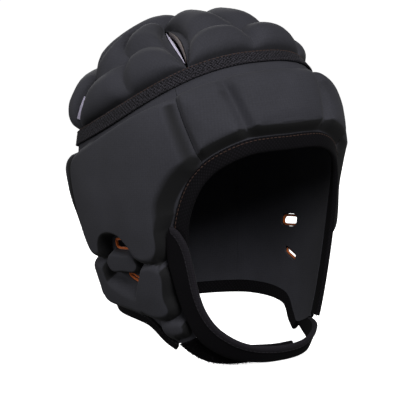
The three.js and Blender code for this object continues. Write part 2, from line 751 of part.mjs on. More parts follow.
// Raised pad on a side panel: bevel, crest and a plateau that closes on its centre.
function raisedPad({ height, bevel, points, rings, centre, crest }, side) {
  const outline = crestOutline(crest, side, points);
  const middle = new THREE.Vector3(side * centre.turn * MM_PER_DEGREE, centre.depth, 0);
  const inner = offsetOutline(outline, PAD_BEVEL[PAD_BEVEL.length - 1].out * bevel);
  const towards = (keep) => inner.map((point) => point.clone().lerp(middle, 1 - keep));
  const sunk = FLANGE - PAD_SUNK;
  const plateau = (keep) => FLANGE + height + PLATEAU_CROWN * (1 - keep);
  return loft([
    onWall(towards(0), sunk),
    ...rings.map((keep) => onWall(towards(keep), sunk)),
    onWall(offsetOutline(outline, bevel), sunk),
    ...PAD_BEVEL.map((row) => onWall(offsetOutline(outline, row.out * bevel), FLANGE + row.height * height)),
    ...rings.map((keep) => onWall(towards(keep), plateau(keep))).reverse(),
    onWall(towards(0), plateau(0)),
  ], false);
}

// Outline of an ear port: a slot with round ends, lower at its front by its drop.
function portOutline(port, side, inset) {
  const outline = [];
  for (let i = 0; i < PORT_POINTS; i += 1) {
    const angle = 2 * Math.PI * i / PORT_POINTS;
    const squared = (value) => Math.sign(value) * Math.abs(value) ** PORT_SQUARENESS;
    const along = (port.halfLength - inset) * squared(Math.cos(angle));
    const up = (port.halfHeight - inset) * squared(Math.sin(angle));
    outline.push(new THREE.Vector3(side * (port.turn * MM_PER_DEGREE + along),
      port.depth + up - port.drop * along, 0));
  }
  return outline;
}

// Side panel: a thin wall with five raised pads, and two ports cut through over the ear.
function sidePanel(side) {
  const edge = curveThrough(FACE_EDGE, ['turn', 'depth'], side);
  const joint = frontJoint(side, 1);
  const share = SIDE_PANEL.joint;
  const front = (t) => (t < share ? joint(t / share)
    : edge(blend(FRONT_PANEL.foot + FRONT_PANEL.clear, 1, (t - share) / (1 - share))));
  const rearTurn = side * (BACK_PANEL.turn - GAP / 2 / MM_PER_DEGREE);
  const top = (s) => {
    const turn = blend(joint(0)[0], rearTurn, s);
    return [turn, tapeDepth(turn) + HIDDEN_GAP];
  };
  const bottom = curveThrough(LOWER_EDGE, ['turn', 'depth'], side);
  const rear = (t) => [rearTurn, blend(top(1)[1], bottom(1)[1], t)];
  const place = patch(front, rear, top, bottom);
  const region = toManifold(wall(wallPoint, place, SIDE_COLUMNS, SIDE_ROWS, () => 2 * BAND_PAD));
  let panel = toManifold(wall(wallPoint, place, SIDE_COLUMNS, SIDE_ROWS, () => FLANGE));
  for (const pad of SIDE_PADS) {
    panel = panel.add(toManifold(raisedPad(pad, side)).intersect(region));
  }
  for (const port of EAR_PORTS) {
    const outline = portOutline(port, side, 0);
    const cutter = loft([onWall(outline, -2 * FLANGE), onWall(outline, 2 * BAND_PAD)], false);
    panel = panel.subtract(toManifold(cutter));
  }
  return trimmed(fromManifold(panel));
}

// Bright edging round the inside of an ear port.
function portEdging(port, side) {
  const rim = portOutline(port, side, GAP);
  const inner = portOutline(port, side, GAP + EDGING);
  return loft(rim.map((point, i) => [
    ...onWall([point, inner[i]], GAP),
    ...onWall([inner[i], point], GAP + EDGING),
  ]), true);
}

// Closed tape round the head over the joint of crown and band.
function crownTape() {
  const path = (part) => [360 * part, tapeDepth(360 * part)];
  const inside = FLANGE + HIDDEN_GAP;
  const corners = [
    [-TAPE_HALF_WIDTH, inside],
    [TAPE_HALF_WIDTH, inside],
    [TAPE_HALF_WIDTH, inside + TAPE_THICKNESS],
    [-TAPE_HALF_WIDTH, inside + TAPE_THICKNESS],
  ];
  return strip(path, () => corners, TAPE_STEPS, true);
}

// Binding folded over an edge: it starts just inside the edge and has a rounded free side.
function binding(path, width, steps) {
  const start = HIDDEN_GAP - BINDING_BITE;
  const shortened = (part) => path(blend(BINDING_END, 1 - BINDING_END, part));
  return strip(shortened, () => [
    [start, BINDING_FOOT],
    [width - BINDING_ROUNDING, 2 * BINDING_FOOT],
    [width, BINDING_HEIGHT / 2],
    [width - BINDING_ROUNDING, BINDING_HEIGHT - BINDING_FOOT],
    [start, BINDING_HEIGHT],
  ], steps);
}

// Space that a binding takes from the panels under it.
function bindingRoom(path, width, steps) {
  return toManifold(strip(path, () => [
    [-BINDING_BITE, -FLANGE],
    [width, -FLANGE],
    [width, 2 * BAND_PAD],
    [-BINDING_BITE, 2 * BAND_PAD],
  ], steps));
}

// Path of the face binding: left jaw, up and over the brow, down to the right jaw.
function faceBindingPath(part) {
  const side = part < 0.5 ? 1 : -1;
  return curveThrough(FACE_EDGE, ['turn', 'depth'], side)(Math.abs(2 * part - 1));
}

// Path of the nape binding: right jaw flap, back below the ear, round the nape to the left.
function napeBindingPath(part) {
  const side = part < 0.5 ? -1 : 1;
  const rows = LOWER_EDGE.slice(JAW_END_ROWS);
  const middle = { turn: 180, depth: rows[rows.length - 1].depth };
  const [turn, depth] = curveThrough([...rows, middle], ['turn', 'depth'])(1 - Math.abs(2 * part - 1));
  return [side * turn, depth];
}

// Flat strap between an outer and an inner edge, lifted off the head by its own table column.
function strap(rows, thickness) {
  const smooth = (...columns) => {
    const points = rows.map((row) => new THREE.Vector3(...columns.map((column) => row[column])));
    const curve = new THREE.CatmullRomCurve3(points, false, 'centripetal');
    return (part) => curve.getPoint(part).toArray();
  };
  const outer = smooth('outerTurn', 'outerDepth', 'lift');
  const inner = smooth('innerTurn', 'innerDepth', 'lift');
  const rings = [];
  for (let i = 0; i <= STRAP_STEPS; i += 1) {
    const edges = [outer, inner].map((edge) => edge(i / STRAP_STEPS));
    const at = ([turn, depth, lift], raise) => lifted(wallPoint, [turn, depth], lift + raise);
    rings.push([
      at(edges[0], 0),
      at(edges[1], 0),
      at(edges[1], thickness),
      at(edges[0], thickness),
    ]);
  }
  return loft(rings, false);
}

const SHELL_CLOTH = new THREE.MeshStandardMaterial({ color: 0x3c3c40, roughness: 0.85, metalness: 0 });
const WOVEN_TAPE = new THREE.MeshStandardMaterial({ color: 0x29272b, roughness: 0.9, metalness: 0 });
const STRAP_FOAM = new THREE.MeshStandardMaterial({ color: 0x18171b, roughness: 0.8, metalness: 0 });
const LOOP_PILE = new THREE.MeshStandardMaterial({ color: 0x0c0b0d, roughness: 1, metalness: 0 });
const EDGING_CORD = new THREE.MeshStandardMaterial({ color: 0xc85f14, roughness: 0.7, metalness: 0 });
const VENT_LINING = new THREE.MeshStandardMaterial({ color: 0xbeb9cd, roughness: 0.9, metalness: 0 });

const headgear = new THREE.Group();

function addPiece(name, geometry, material) {
  const mesh = new THREE.Mesh(geometry, material);
  mesh.name = name;
  headgear.add(mesh);
}

const SIDES = [{ name: 'right', side: -1 }, { name: 'left', side: 1 }];

// Seam between the upper and lower quilts of each petal, as a share of the way down to the tape.
const frontRow = (s) => 0.575 + 1.6 * (Math.abs(s - 0.5) - 0.25) ** 2;
const sideRow = (s) => (s < SIDE_COLUMN ? 0.452 + 1.9 * (s - 0.3) ** 2 : 0.495 + 0.25 * (s - SIDE_COLUMN));
const backRow = (s) => 0.5 + 0.08 * (2 * s - 1) ** 2;
// The middle seam of a side petal leans back on its way up, most of all above the row seam.
const sideLean = (t) => Math.min(0.375 + 0.3 * (1 - t) + 1.3 * Math.max(0, 0.46 - t), 0.88);
const middle = () => 0.5;

addPiece('crown_front', petal({
  sides: [
    { slit: FRONT_SLIT, side: -1, way: 1, border: PLAIN_BORDER },
    { slit: FRONT_SLIT, side: 1, way: -1, border: PLAIN_BORDER },
  ],
  turns: [-FRONT_SLIT.footTurn, FRONT_SLIT.footTurn],
  columnAt: 0.5,
  columnLean: middle,
  rowAt: frontRow,
}), SHELL_CLOTH);
addPiece('crown_back', petal({
  sides: [
    { slit: REAR_SLIT, side: -1, way: -1, border: STEEP_BORDER },
    { slit: REAR_SLIT, side: 1, way: 1, border: STEEP_BORDER },
  ],
  turns: [-REAR_SLIT.footTurn, REAR_SLIT.footTurn - 360],
  columnAt: 0.5,
  columnLean: middle,
  rowAt: backRow,
}), SHELL_CLOTH);
for (const { name, side } of SIDES) {
  addPiece(`crown_${name}`, petal({
    sides: [
      { slit: FRONT_SLIT, side, way: side, border: PLAIN_BORDER },
      { slit: REAR_SLIT, side, way: -side, border: WIDE_BORDER },
    ],
    turns: [side * FRONT_SLIT.footTurn, side * REAR_SLIT.footTurn],
    columnAt: SIDE_COLUMN,
    columnLean: sideLean,
    rowAt: sideRow,
    apex: [side * (APEX.across + APEX.clear), APEX.along],
  }), SHELL_CLOTH);
  addPiece(`side_panel_${name}`, sidePanel(side), SHELL_CLOTH);
  addPiece(`vent_lining_front_${name}`, ventLining(FRONT_SLIT, side), VENT_LINING);
  addPiece(`vent_lining_rear_${name}`, ventLining(REAR_SLIT, side), VENT_LINING);
  for (const port of EAR_PORTS) {
    addPiece(`ear_edging_${port.name}_${name}`, portEdging(port, side), EDGING_CORD);
  }
}
addPiece('front_panel', frontPanel(), SHELL_CLOTH);
addPiece('back_panel', backPanel(), SHELL_CLOTH);
addPiece('crown_tape', crownTape(), WOVEN_TAPE);
addPiece('face_binding', binding(faceBindingPath, BINDING_WIDTH, FACE_BINDING_STEPS), WOVEN_TAPE);
addPiece('nape_binding', binding(napeBindingPath, NAPE_BINDING_WIDTH, NAPE_BINDING_STEPS), WOVEN_TAPE);
addPiece('hook_strap', strap(HOOK_STRAP, HOOK_STRAP_THICKNESS), STRAP_FOAM);
addPiece('loop_strap', strap(LOOP_STRAP, LOOP_STRAP_THICKNESS), LOOP_PILE);

export default headgear;
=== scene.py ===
# %% [markdown]
# # A padded headgear, from its inside out
# The real thing is a soft helmet for contact sport. Moulded foam pads sit between two layers of thin knit,
# and the sewn panels are joined by woven tapes. We load the plain solids first: they fix every size and
# place, and each soft solid is then replaced by a modelled piece that sits in the same room.

import bmesh
import bpy
import numpy as np
from mathutils import Matrix, Vector


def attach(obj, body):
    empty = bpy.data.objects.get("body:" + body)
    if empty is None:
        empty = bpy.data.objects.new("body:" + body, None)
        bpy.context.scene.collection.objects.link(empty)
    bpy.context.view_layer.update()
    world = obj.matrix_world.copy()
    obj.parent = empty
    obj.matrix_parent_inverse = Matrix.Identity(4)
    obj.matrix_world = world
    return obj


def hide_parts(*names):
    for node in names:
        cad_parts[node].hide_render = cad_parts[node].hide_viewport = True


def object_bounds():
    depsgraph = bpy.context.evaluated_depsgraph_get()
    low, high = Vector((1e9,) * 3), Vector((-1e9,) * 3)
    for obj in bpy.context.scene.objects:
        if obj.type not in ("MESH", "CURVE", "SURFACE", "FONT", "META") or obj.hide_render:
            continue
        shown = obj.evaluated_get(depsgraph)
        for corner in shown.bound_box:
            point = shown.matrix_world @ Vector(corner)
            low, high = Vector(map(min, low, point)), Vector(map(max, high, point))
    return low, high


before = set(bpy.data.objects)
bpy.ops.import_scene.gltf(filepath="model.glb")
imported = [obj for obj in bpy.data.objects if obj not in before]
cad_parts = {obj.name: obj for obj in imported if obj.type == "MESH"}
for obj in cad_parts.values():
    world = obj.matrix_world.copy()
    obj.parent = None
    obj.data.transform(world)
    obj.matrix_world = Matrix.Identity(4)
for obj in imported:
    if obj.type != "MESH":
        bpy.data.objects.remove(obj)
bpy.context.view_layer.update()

MM = 0.001

# %% [markdown]
# ## One inner surface
# A headgear is patterned on a head form. We do the same: one smooth surface stands for the head, and every
# panel, pad, tape and strap is laid on it and lifted along its normal. A sculpted mesh would also work, but
# a formula keeps neighbours parallel, so seams stay narrow all the way along.
# A place on the wall is a turn from the front (degrees, positive to the wearer's left) and a depth below
# the top (mm). All shapes are worked out in mm, and turned to metres when a mesh is made.

# %% The head surface
DOME_HEIGHT = 88.5
HALF_BREADTH = 77.5
FRONT_REACH = 96
BACK_REACH = 93
DOME_POWER = 2.23
BACK_POWER = 1.62
PLAN_POWER = 2.44
SOLVE_STEPS = 27
NORMAL_REACH = 0.2
GIRTH_DEPTH = 85.0
LOWER_WALL = {
    "depth": [88.5, 108, 130, 152, 176, 200, 214, 234, 255],
    "breadth": [77.5, 77.3, 75.5, 72, 66.5, 59.5, 54.5, 46, 36],
    "front": [96, 96, 95, 92, 88, 84, 80.5, 67, 46],
    "back": [93, 90, 81, 72.5, 67.5, 64.5, 63, 61, 58],
}


def blend(start, end, part):
    return start + (end - start) * part


def unit(vectors):
    return vectors / np.maximum(np.linalg.norm(vectors, axis=-1, keepdims=True), 1e-9)


def lower_wall(column, depth):
    x = np.array(LOWER_WALL["depth"], float)
    y = np.array(LOWER_WALL[column], float)
    slope = np.gradient(y, x)
    slope[1:-1] = (y[2:] - y[:-2]) / (x[2:] - x[:-2])
    slope[0] = 0
    i = np.clip(np.searchsorted(x, depth, side="right") - 1, 0, len(x) - 2)
    span = x[i + 1] - x[i]
    f = (depth - x[i]) / span
    return (
        y[i] * (2 * f**3 - 3 * f**2 + 1)
        + span * slope[i] * (f**3 - 2 * f**2 + f)
        + y[i + 1] * (3 * f**2 - 2 * f**3)
        + span * slope[i + 1] * (f**3 - f**2)
    )


def dome_profile(reach, power, depth):
    rise_left = 1 - np.clip(depth / DOME_HEIGHT, 0, 1)
    return reach * (1 - rise_left**power) ** (1 / power)


def wall_point(turn, depth):
    turn, depth = np.broadcast_arrays(np.asarray(turn, float), np.asarray(depth, float))
    sideways, ahead = np.sin(np.radians(turn)), np.cos(np.radians(turn))
    in_dome = depth < DOME_HEIGHT
    breadth = np.where(in_dome, dome_profile(HALF_BREADTH, DOME_POWER, depth), lower_wall("breadth", depth))
    front = np.where(in_dome, dome_profile(FRONT_REACH, DOME_POWER, depth), lower_wall("front", depth))
    back = np.where(in_dome, dome_profile(BACK_REACH, BACK_POWER, depth), lower_wall("back", depth))
    reach = np.where(ahead > 0, front, back)
    with np.errstate(divide="ignore", invalid="ignore"):
        oval = np.abs(sideways / breadth) ** PLAN_POWER + np.abs(ahead / reach) ** PLAN_POWER
        radius = np.where(depth > 0, oval ** (-1 / PLAN_POWER), 0)
    return np.stack([radius * sideways, -radius * ahead, -depth], axis=-1)


def solve(measure, low, high, shape):
    low, high = np.full(shape, float(low)), np.full(shape, float(high))
    for _ in range(SOLVE_STEPS):
        middle = (low + high) / 2
        below = measure(middle) < 0
        low, high = np.where(below, middle, low), np.where(below, high, middle)
    return (low + high) / 2


def slope_of(turn, depth):
    point = wall_point(turn, depth)
    return np.degrees(np.arctan2(np.hypot(point[..., 0], point[..., 1]), DOME_HEIGHT - depth))


def dome_point(across, along):
    turn = np.degrees(np.arctan2(across, -along))
    slope = np.hypot(across, along)
    depth = solve(lambda d: slope_of(turn, d) - slope, 0, DOME_HEIGHT, slope.shape)
    return wall_point(turn, depth)


def point_and_normal(surface, a, b):
    a, b = np.broadcast_arrays(np.asarray(a, float), np.asarray(b, float))
    point = surface(a, b)
    across = surface(a + NORMAL_REACH, b) - surface(a - NORMAL_REACH, b)
    along = surface(a, b + NORMAL_REACH) - surface(a, b - NORMAL_REACH)
    normal = unit(np.cross(across, along))
    outward = point + [0, 0, DOME_HEIGHT]
    return point, normal * np.where((normal * outward).sum(-1) < 0, -1, 1)[..., None]


def lifted(surface, a, b, lift):
    point, normal = point_and_normal(surface, a, b)
    return point + normal * np.asarray(lift, float)[..., None]


girth_turns = np.linspace(0, 360, 721)
girth = np.linalg.norm(np.diff(wall_point(girth_turns, GIRTH_DEPTH), axis=0), axis=1).sum()
print("inside girth: %.0f mm" % girth)

# %% [markdown]
# ## Curves through a few chosen points
# Panel edges and pad outlines are drawn as smooth curves through a short table, as a pattern maker draws
# with a flexible ruler. The curve is a centripetal Catmull-Rom, which never loops between close points.

# %% Smooth curves


def curve_through(rows, closed=False, samples=1200):
    p = np.asarray(rows, float)
    if closed:
        ends = np.concatenate([p[-1:], p, p[:2]])
    else:
        ends = np.concatenate([[2 * p[0] - p[1]], p, [2 * p[-1] - p[-2]]])
    spans = len(ends) - 3
    t = np.linspace(0, spans, samples)
    i = np.minimum(t.astype(int), spans - 1)
    f = (t - i)[:, None]
    x0, x1, x2, x3 = (ends[i + k] for k in range(4))
    gaps = [np.sqrt(np.linalg.norm(b - a, axis=1))[:, None] for a, b in ((x0, x1), (x1, x2), (x2, x3))]
    d0, d1, d2 = (np.maximum(g, 1e-4) for g in gaps)
    leave = ((x1 - x0) / d0 - (x2 - x0) / (d0 + d1) + (x2 - x1) / d1) * d1
    arrive = ((x2 - x1) / d1 - (x3 - x1) / (d1 + d2) + (x3 - x2) / d2) * d1
    bend = 3 * (x2 - x1) - 2 * leave - arrive
    twist = 2 * (x1 - x2) + leave + arrive
    line = x1 + f * leave + f**2 * bend + f**3 * twist
    steps = np.linalg.norm(np.diff(line, axis=0), axis=1)
    length = np.concatenate([[0], np.cumsum(steps)])
    by_row = t / spans
    by_length = length / length[-1]

    def at(part, even_in=by_length):
        part = np.asarray(part, float)
        return np.stack([np.interp(part, even_in, line[:, k]) for k in range(p.shape[1])], axis=-1)

    at.by_row = lambda part: at(part, by_row)
    return at


# %% [markdown]
# ## Turning places into closed shells
# A padded panel is an outer face, an inner face and a rim. One helper takes a grid of outer points and the
# matching inner points, drops the cells that a port cuts away, and closes the rim where a cell is missing.
# A Solidify modifier could do this too, but here the inner face has its own exact shape.
# The UV map is in millimetres of cloth, so that every weave is drawn at a real size. Each point also keeps
# how steep its wall is, counting only walls that look forward or down, as a weight for painted shade.

# %% Mesh helpers
SHELL_SHARP_DEG = 48
LOFT_SHARP_DEG = 60
SAME_POINT = 0.00001
FACING = {"level": 0.25, "forward": 2.5, "down": 2}


def add_object(name, data):
    piece = bpy.data.objects.new(name, data)
    bpy.context.scene.collection.objects.link(piece)
    return piece


def add_mesh(name, points, faces, corner_uv, sharp_deg, painted_shade=None):
    mesh = bpy.data.meshes.new(name)
    mesh.from_pydata(points * MM, [], faces)
    if painted_shade is not None:
        values = mesh.attributes.new("painted_shade", "FLOAT", "POINT").data
        values.foreach_set("value", painted_shade.astype(np.float32))
    layer = mesh.uv_layers.new(name="cloth_mm")
    layer.data.foreach_set("uv", np.asarray(corner_uv, np.float32).ravel())
    work = bmesh.new()
    work.from_mesh(mesh)
    loose = [v for v in work.verts if not v.link_faces]
    bmesh.ops.delete(work, geom=loose, context="VERTS")
    bmesh.ops.remove_doubles(work, verts=work.verts, dist=SAME_POINT)
    bmesh.ops.dissolve_degenerate(work, edges=work.edges, dist=SAME_POINT / 2)
    if work.calc_volume(signed=True) < 0:
        bmesh.ops.reverse_faces(work, faces=work.faces)
    work.to_mesh(mesh)
    work.free()
    mesh.shade_smooth()
    mesh.set_sharp_from_angle(angle=np.radians(sharp_deg))
    return add_object(name, mesh)


def grid_quads(rows, columns):
    corner = np.arange((rows - 1) * columns).reshape(rows - 1, columns)[:, :-1].ravel()
    return np.stack([corner, corner + 1, corner + columns + 1, corner + columns], axis=1)


def grid_normals(points):
    down, across = np.gradient(points, axis=0), np.gradient(points, axis=1)
    return unit(np.cross(across, down))


def shell(name, outer, inner, cloth, keep=None, shade=1.0):
    """Closed wall between two grids of points. cloth is each point's place in mm of cloth."""
    rows, columns = outer.shape[:2]
    quads = grid_quads(rows, columns)
    if keep is not None:
        quads = quads[keep.ravel()]
    count = rows * columns
    edges = np.concatenate([quads[:, [k, (k + 1) % 4]] for k in range(4)])
    forward = edges[:, 0] * count + edges[:, 1]
    backward = edges[:, 1] * count + edges[:, 0]
    a, b = edges[~np.isin(forward, backward)].T
    rim = np.stack([b, a, a + count, b + count], axis=1)
    faces = np.concatenate([quads, quads[:, ::-1] + count, rim])
    points = np.concatenate([outer.reshape(-1, 3), inner.reshape(-1, 3)])
    uv = np.concatenate([cloth.reshape(-1, 2)] * 2)
    # Painted shade: a weight from how steep the wall is, counted only where it looks forward or down.
    steep, level = grid_normals(outer), grid_normals(inner)
    if (level * (inner + [0, 0, DOME_HEIGHT])).sum() < 0:
        steep, level = -steep, -level
    tilt = unit(steep - level)
    facing = FACING["level"] - FACING["forward"] * tilt[..., 1] - FACING["down"] * tilt[..., 2]
    painted_shade = ((1 - np.abs((steep * level).sum(-1))) * np.clip(facing, 0, 1)).ravel() * shade
    painted_shade = np.concatenate([painted_shade, np.zeros(count)])
    return add_mesh(name, points, faces.tolist(), uv[faces], SHELL_SHARP_DEG, painted_shade)


def loft(name, rings, closed=False):
    """Skin over a row of closed section rings, capped at its two ends unless the row is closed."""
    count, sides = rings.shape[:2]
    looped = np.concatenate([rings, rings[:1]]) if closed else rings
    along = np.concatenate([[0], np.linalg.norm(np.diff(looped.mean(axis=1), axis=0), axis=1).cumsum()])
    section = np.concatenate([rings[count // 2], rings[count // 2][:1]])
    across = np.concatenate([[0], np.linalg.norm(np.diff(section, axis=0), axis=1).cumsum()])
    i, k = np.meshgrid(np.arange(len(looped) - 1), np.arange(sides), indexing="ij")
    j, m = (i + 1) % count, (k + 1) % sides
    faces = np.stack([i * sides + k, i * sides + m, j * sides + m, j * sides + k], axis=-1).reshape(-1, 4)
    u = along[np.stack([i, i, i + 1, i + 1], axis=-1)]
    v = across[np.stack([k, k + 1, k + 1, k], axis=-1)]
    corner_uv = np.stack([u, v], axis=-1).reshape(-1, 2)
    faces = faces.tolist()
    if not closed:
        faces.append(list(range(sides))[::-1])
        faces.append(list(range((count - 1) * sides, count * sides)))
        corner_uv = np.concatenate([corner_uv, np.zeros((2 * sides, 2))])
    return add_mesh(name, rings.reshape(-1, 3), faces, corner_uv, LOFT_SHARP_DEG)


def settle(piece, node, slot, material):
    """Gives a piece its material and its place in the frame. node is what it stands for, if anything."""
    piece.data.materials.clear()
    piece.data.materials.append(material)
    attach(piece, "root")
    if node:
        piece.name = node + "_look"
        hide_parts(node)
    print(piece.name, len(piece.data.vertices), "points")
    return piece


# %% [markdown]
# ## Cloths, tapes and thread
# Everything here is cloth of some kind, so one recipe serves: two crossed waves draw the courses and wales,
# a fine noise stands for the fibres, and a slow noise for handling. A real knit is finer than a pixel of our
# picture, so it is drawn a little coarser. Sheen gives the soft bright rim of brushed fibres.
# In the photo, walls that look forward or down are almost black, darker than soft light makes them. So part
# of that shade is put into the cloth, by how steep a wall is. A harder light would do it too, but its hard
# shadows would show.
# Colours are given as they look on a screen, and changed to a shader's values.

# %% Materials
FACTOR, FIRST, SECOND, MIXED = 0, 6, 7, 2
FIRST_NUMBER, SECOND_NUMBER, MIXED_NUMBER = 2, 3, 0
WAVE_TURNS = 2 * np.pi / 20
YARN_WANDER = 1.2
FIBRE_MM = 1.3
HANDLING_MM = 32
HANDLING_RANGE = (0.3, 0.7)
HANDLING_TONE = (0.86, 1.12)
SPECK_CUT = {"dark": 0.4, "light": 0.3}
RELIEF_STRENGTH = 0.6
# Painted shade on steep walls: where it starts and ends, how strong it gets, and its near-black colour.
PAINTED_SHADE_RANGE = (0.02, 0.17)
PAINTED_SHADE_STRENGTH = 0.9
PAINTED_SHADE_COLOUR = "#040404"


def colour(code):
    """A screen colour such as #38383c as the linear values of a shader."""
    values = [int(code[i:i + 2], 16) / 255 for i in (1, 3, 5)]
    return [v / 12.92 if v <= 0.04045 else ((v + 0.055) / 1.055) ** 2.4 for v in values] + [1.0]


def add_node(tree, kind, sockets=None, **settings):
    node = tree.nodes.new(kind)
    for name, value in settings.items():
        setattr(node, name, value)
    for name, value in (sockets or {}).items():
        if isinstance(value, bpy.types.NodeSocket):
            tree.links.new(value, node.inputs[name])
        else:
            node.inputs[name].default_value = value
    return node


def mix(tree, factor, first, second, kind="MIX"):
    sockets = {FACTOR: factor, FIRST: first, SECOND: second}
    return add_node(tree, "ShaderNodeMix", sockets, data_type="RGBA", blend_type=kind).outputs[MIXED]


def ranged(tree, value, start, end, low=0.0, high=1.0):
    """A value changed so that start becomes low and end becomes high."""
    return add_node(tree, "ShaderNodeMapRange", {
        "Value": value, "From Min": start, "From Max": end, "To Min": low, "To Max": high}).outputs["Result"]


def noise(tree, place, size_mm, detail):
    return add_node(tree, "ShaderNodeTexNoise", {
        "Vector": place, "Scale": 1 / size_mm, "Detail": detail}).outputs["Fac"]


def cloth_material(name, dark, light, course_mm, wale_mm, slant_deg=0, fibre=0.5, relief_mm=0.1, sheen=0.3,
                   roughness=0.85, gloss=0.25, speck=0.0):
    """fibre is how much noise shows in the weave, and speck sharpens it to salt and pepper."""
    material = bpy.data.materials.new(name)
    material.use_nodes = True
    tree = material.node_tree
    tree.nodes.clear()
    place = add_node(tree, "ShaderNodeUVMap", uv_map="cloth_mm").outputs["UV"]
    slant = (0, 0, np.radians(slant_deg))
    turned = add_node(tree, "ShaderNodeMapping", {"Vector": place, "Rotation": slant}).outputs["Vector"]
    waves = []
    for axis, period in (("X", wale_mm), ("Y", course_mm)):
        wave = add_node(tree, "ShaderNodeTexWave", {
            "Vector": turned, "Scale": WAVE_TURNS / period, "Distortion": YARN_WANDER, "Detail": 1.0,
            "Detail Scale": 0.4}, bands_direction=axis)
        waves.append(wave.outputs["Fac"])
    yarn = add_node(tree, "ShaderNodeMath", {0: waves[0], 1: waves[1]}, operation="MULTIPLY").outputs[0]
    fibres = noise(tree, place, FIBRE_MM, 2.0)
    handled = noise(tree, place, HANDLING_MM, 3.0)
    woven = add_node(tree, "ShaderNodeMix", {
        FACTOR: fibre, FIRST_NUMBER: yarn, SECOND_NUMBER: fibres}, data_type="FLOAT").outputs[MIXED_NUMBER]
    pattern = ranged(tree, woven, SPECK_CUT["dark"] * speck, 1 - SPECK_CUT["light"] * speck)
    base = mix(tree, pattern, colour(dark), colour(light))
    worn = ranged(tree, handled, *HANDLING_RANGE, *HANDLING_TONE)
    tone = add_node(tree, "ShaderNodeCombineColor", {0: worn, 1: worn, 2: worn}).outputs["Color"]
    base = mix(tree, 1.0, base, tone, "MULTIPLY")
    # Painted shade: cloth on steep walls that look forward or down is mixed towards near black.
    painted_shade = add_node(tree, "ShaderNodeAttribute", attribute_name="painted_shade").outputs["Fac"]
    base = mix(tree, ranged(tree, painted_shade, *PAINTED_SHADE_RANGE, 0.0, PAINTED_SHADE_STRENGTH), base, colour(PAINTED_SHADE_COLOUR))
    relief = add_node(tree, "ShaderNodeBump", {
        "Height": pattern, "Strength": RELIEF_STRENGTH, "Distance": relief_mm * MM})
    surface = add_node(tree, "ShaderNodeBsdfPrincipled", {
        "Base Color": base, "Roughness": roughness, "Specular IOR Level": gloss, "Sheen Weight": sheen,
        "Sheen Roughness": 0.5, "Normal": relief.outputs["Normal"],
    })
    out = add_node(tree, "ShaderNodeOutputMaterial")
    tree.links.new(surface.outputs["BSDF"], out.inputs["Surface"])
    material.diffuse_color = colour(light)
    return material


# Matt charcoal knit: reads as soft grey where light falls on it; steep walls get painted shade, near black.
KNIT_OVER_FOAM = cloth_material("polyester_knit_over_foam", "#26262b", "#35353c", 1.4, 1.7, fibre=0.75,
                                relief_mm=0.05, sheen=0.03)
# Coarse mottled tape: a salt-and-pepper band round the crown.
CROWN_WEBBING = cloth_material("woven_polyester_tape", "#030304", "#403e45", 1.6, 2.0, slant_deg=35,
                               fibre=0.75, relief_mm=0.2, sheen=0.02, gloss=0.1, speck=0.8)
# Twill binding: darker than the knit, with fine slanting ribs.
TWILL_BINDING = cloth_material("cotton_twill_binding", "#030304", "#151317", 1.7, 2.2, slant_deg=38,
                               fibre=0.3, relief_mm=0.2, sheen=0.01, gloss=0.08)
# Smooth jersey on neoprene foam: the darkest flat cloth, with hardly any pattern.
JERSEY_ON_FOAM = cloth_material("nylon_jersey_on_neoprene", "#060507", "#0f0e11", 1.2, 1.2, sheen=0.01,
                                gloss=0.06)
# Knitted edging on the strap: a step lighter than the strap it covers.
STRAP_EDGING = cloth_material("knitted_strap_edging", "#110f13", "#2a282d", 1.2, 1.6, slant_deg=20,
                              sheen=0.02, gloss=0.08)
# Loop pile: black tufts that swallow light.
LOOP_PILE = cloth_material("nylon_loop_pile", "#070608", "#141216", 1.5, 1.5, sheen=0.03, roughness=0.95,
                           gloss=0.05)
# Orange cord: the only strong colour, seen as thin lines in the ear ports.
ORANGE_CORD = cloth_material("orange_edging_cord", "#b4500c", "#ea8426", 1.2, 30, slant_deg=45, fibre=0.3)
# Two linings show in the slits: a pale lavender one and a brown-grey one, darker partly by painted shade.
PALE_LINING = cloth_material("lavender_lining_cloth", "#a8a2b8", "#d2cde0", 1.2, 1.2, sheen=0.1)
BROWN_WITH_PAINTED_SHADE = cloth_material("brown_grey_lining_with_painted_shade", "#4c4442", "#7d7370", 1.2, 1.2, sheen=0.1)
# Threads: copper brown along the bindings, near black on the straps.
COPPER_THREAD = cloth_material("copper_brown_thread", "#35241d", "#543c31", 1.0, 30, sheen=0.05)
DARK_THREAD = cloth_material("dark_thread", "#17151a", "#2a272c", 1.0, 30, sheen=0.05)
print("materials:", len(bpy.data.materials))

# %% [markdown]
# ## Soft rises beside a seam
# Foam that is pressed flat along a line springs up beside it. Three little rules draw that: a quarter round
# at a sewn border, a straight bevel with rounded crest and foot at a moulded pad, and a soft valley where a
# pad is only creased. Each gives a share from 0 to 1, which is multiplied by the pad's height.

# %% Pad rules
GAP = 0.3
HIDDEN_GAP = 0.5
FLANGE = 3
MM_PER_DEGREE = 1.45
DOME_MM_PER_DEGREE = 1.55
TAPE_LEVEL = 58.1
TAPE_TILT = 0.364
TAPE_BOW = 0.00171
TAPE_HALF_WIDTH = 5.2
PAD_SLOPE = 1.06
CREST_ROUNDING = 0.4
FOOT_ROUNDING = 0.12
VALLEY_POWER = 0.85


def ramp(value, start, end):
    """Share from 0 at start to 1 at end."""
    return np.clip((value - start) / (end - start), 0, 1)


def rise(distance, rounding):
    part = np.clip(np.asarray(distance, float) / rounding, 0, 1)
    return np.sqrt(1 - (1 - part) ** 2)


def soft_limit(value, limit, rounding):
    """The smaller of value and limit, with a small fillet where the two meet."""
    near = np.maximum(rounding - np.abs(value - limit), 0) / rounding
    return np.minimum(value, limit) - near**2 * rounding / 4


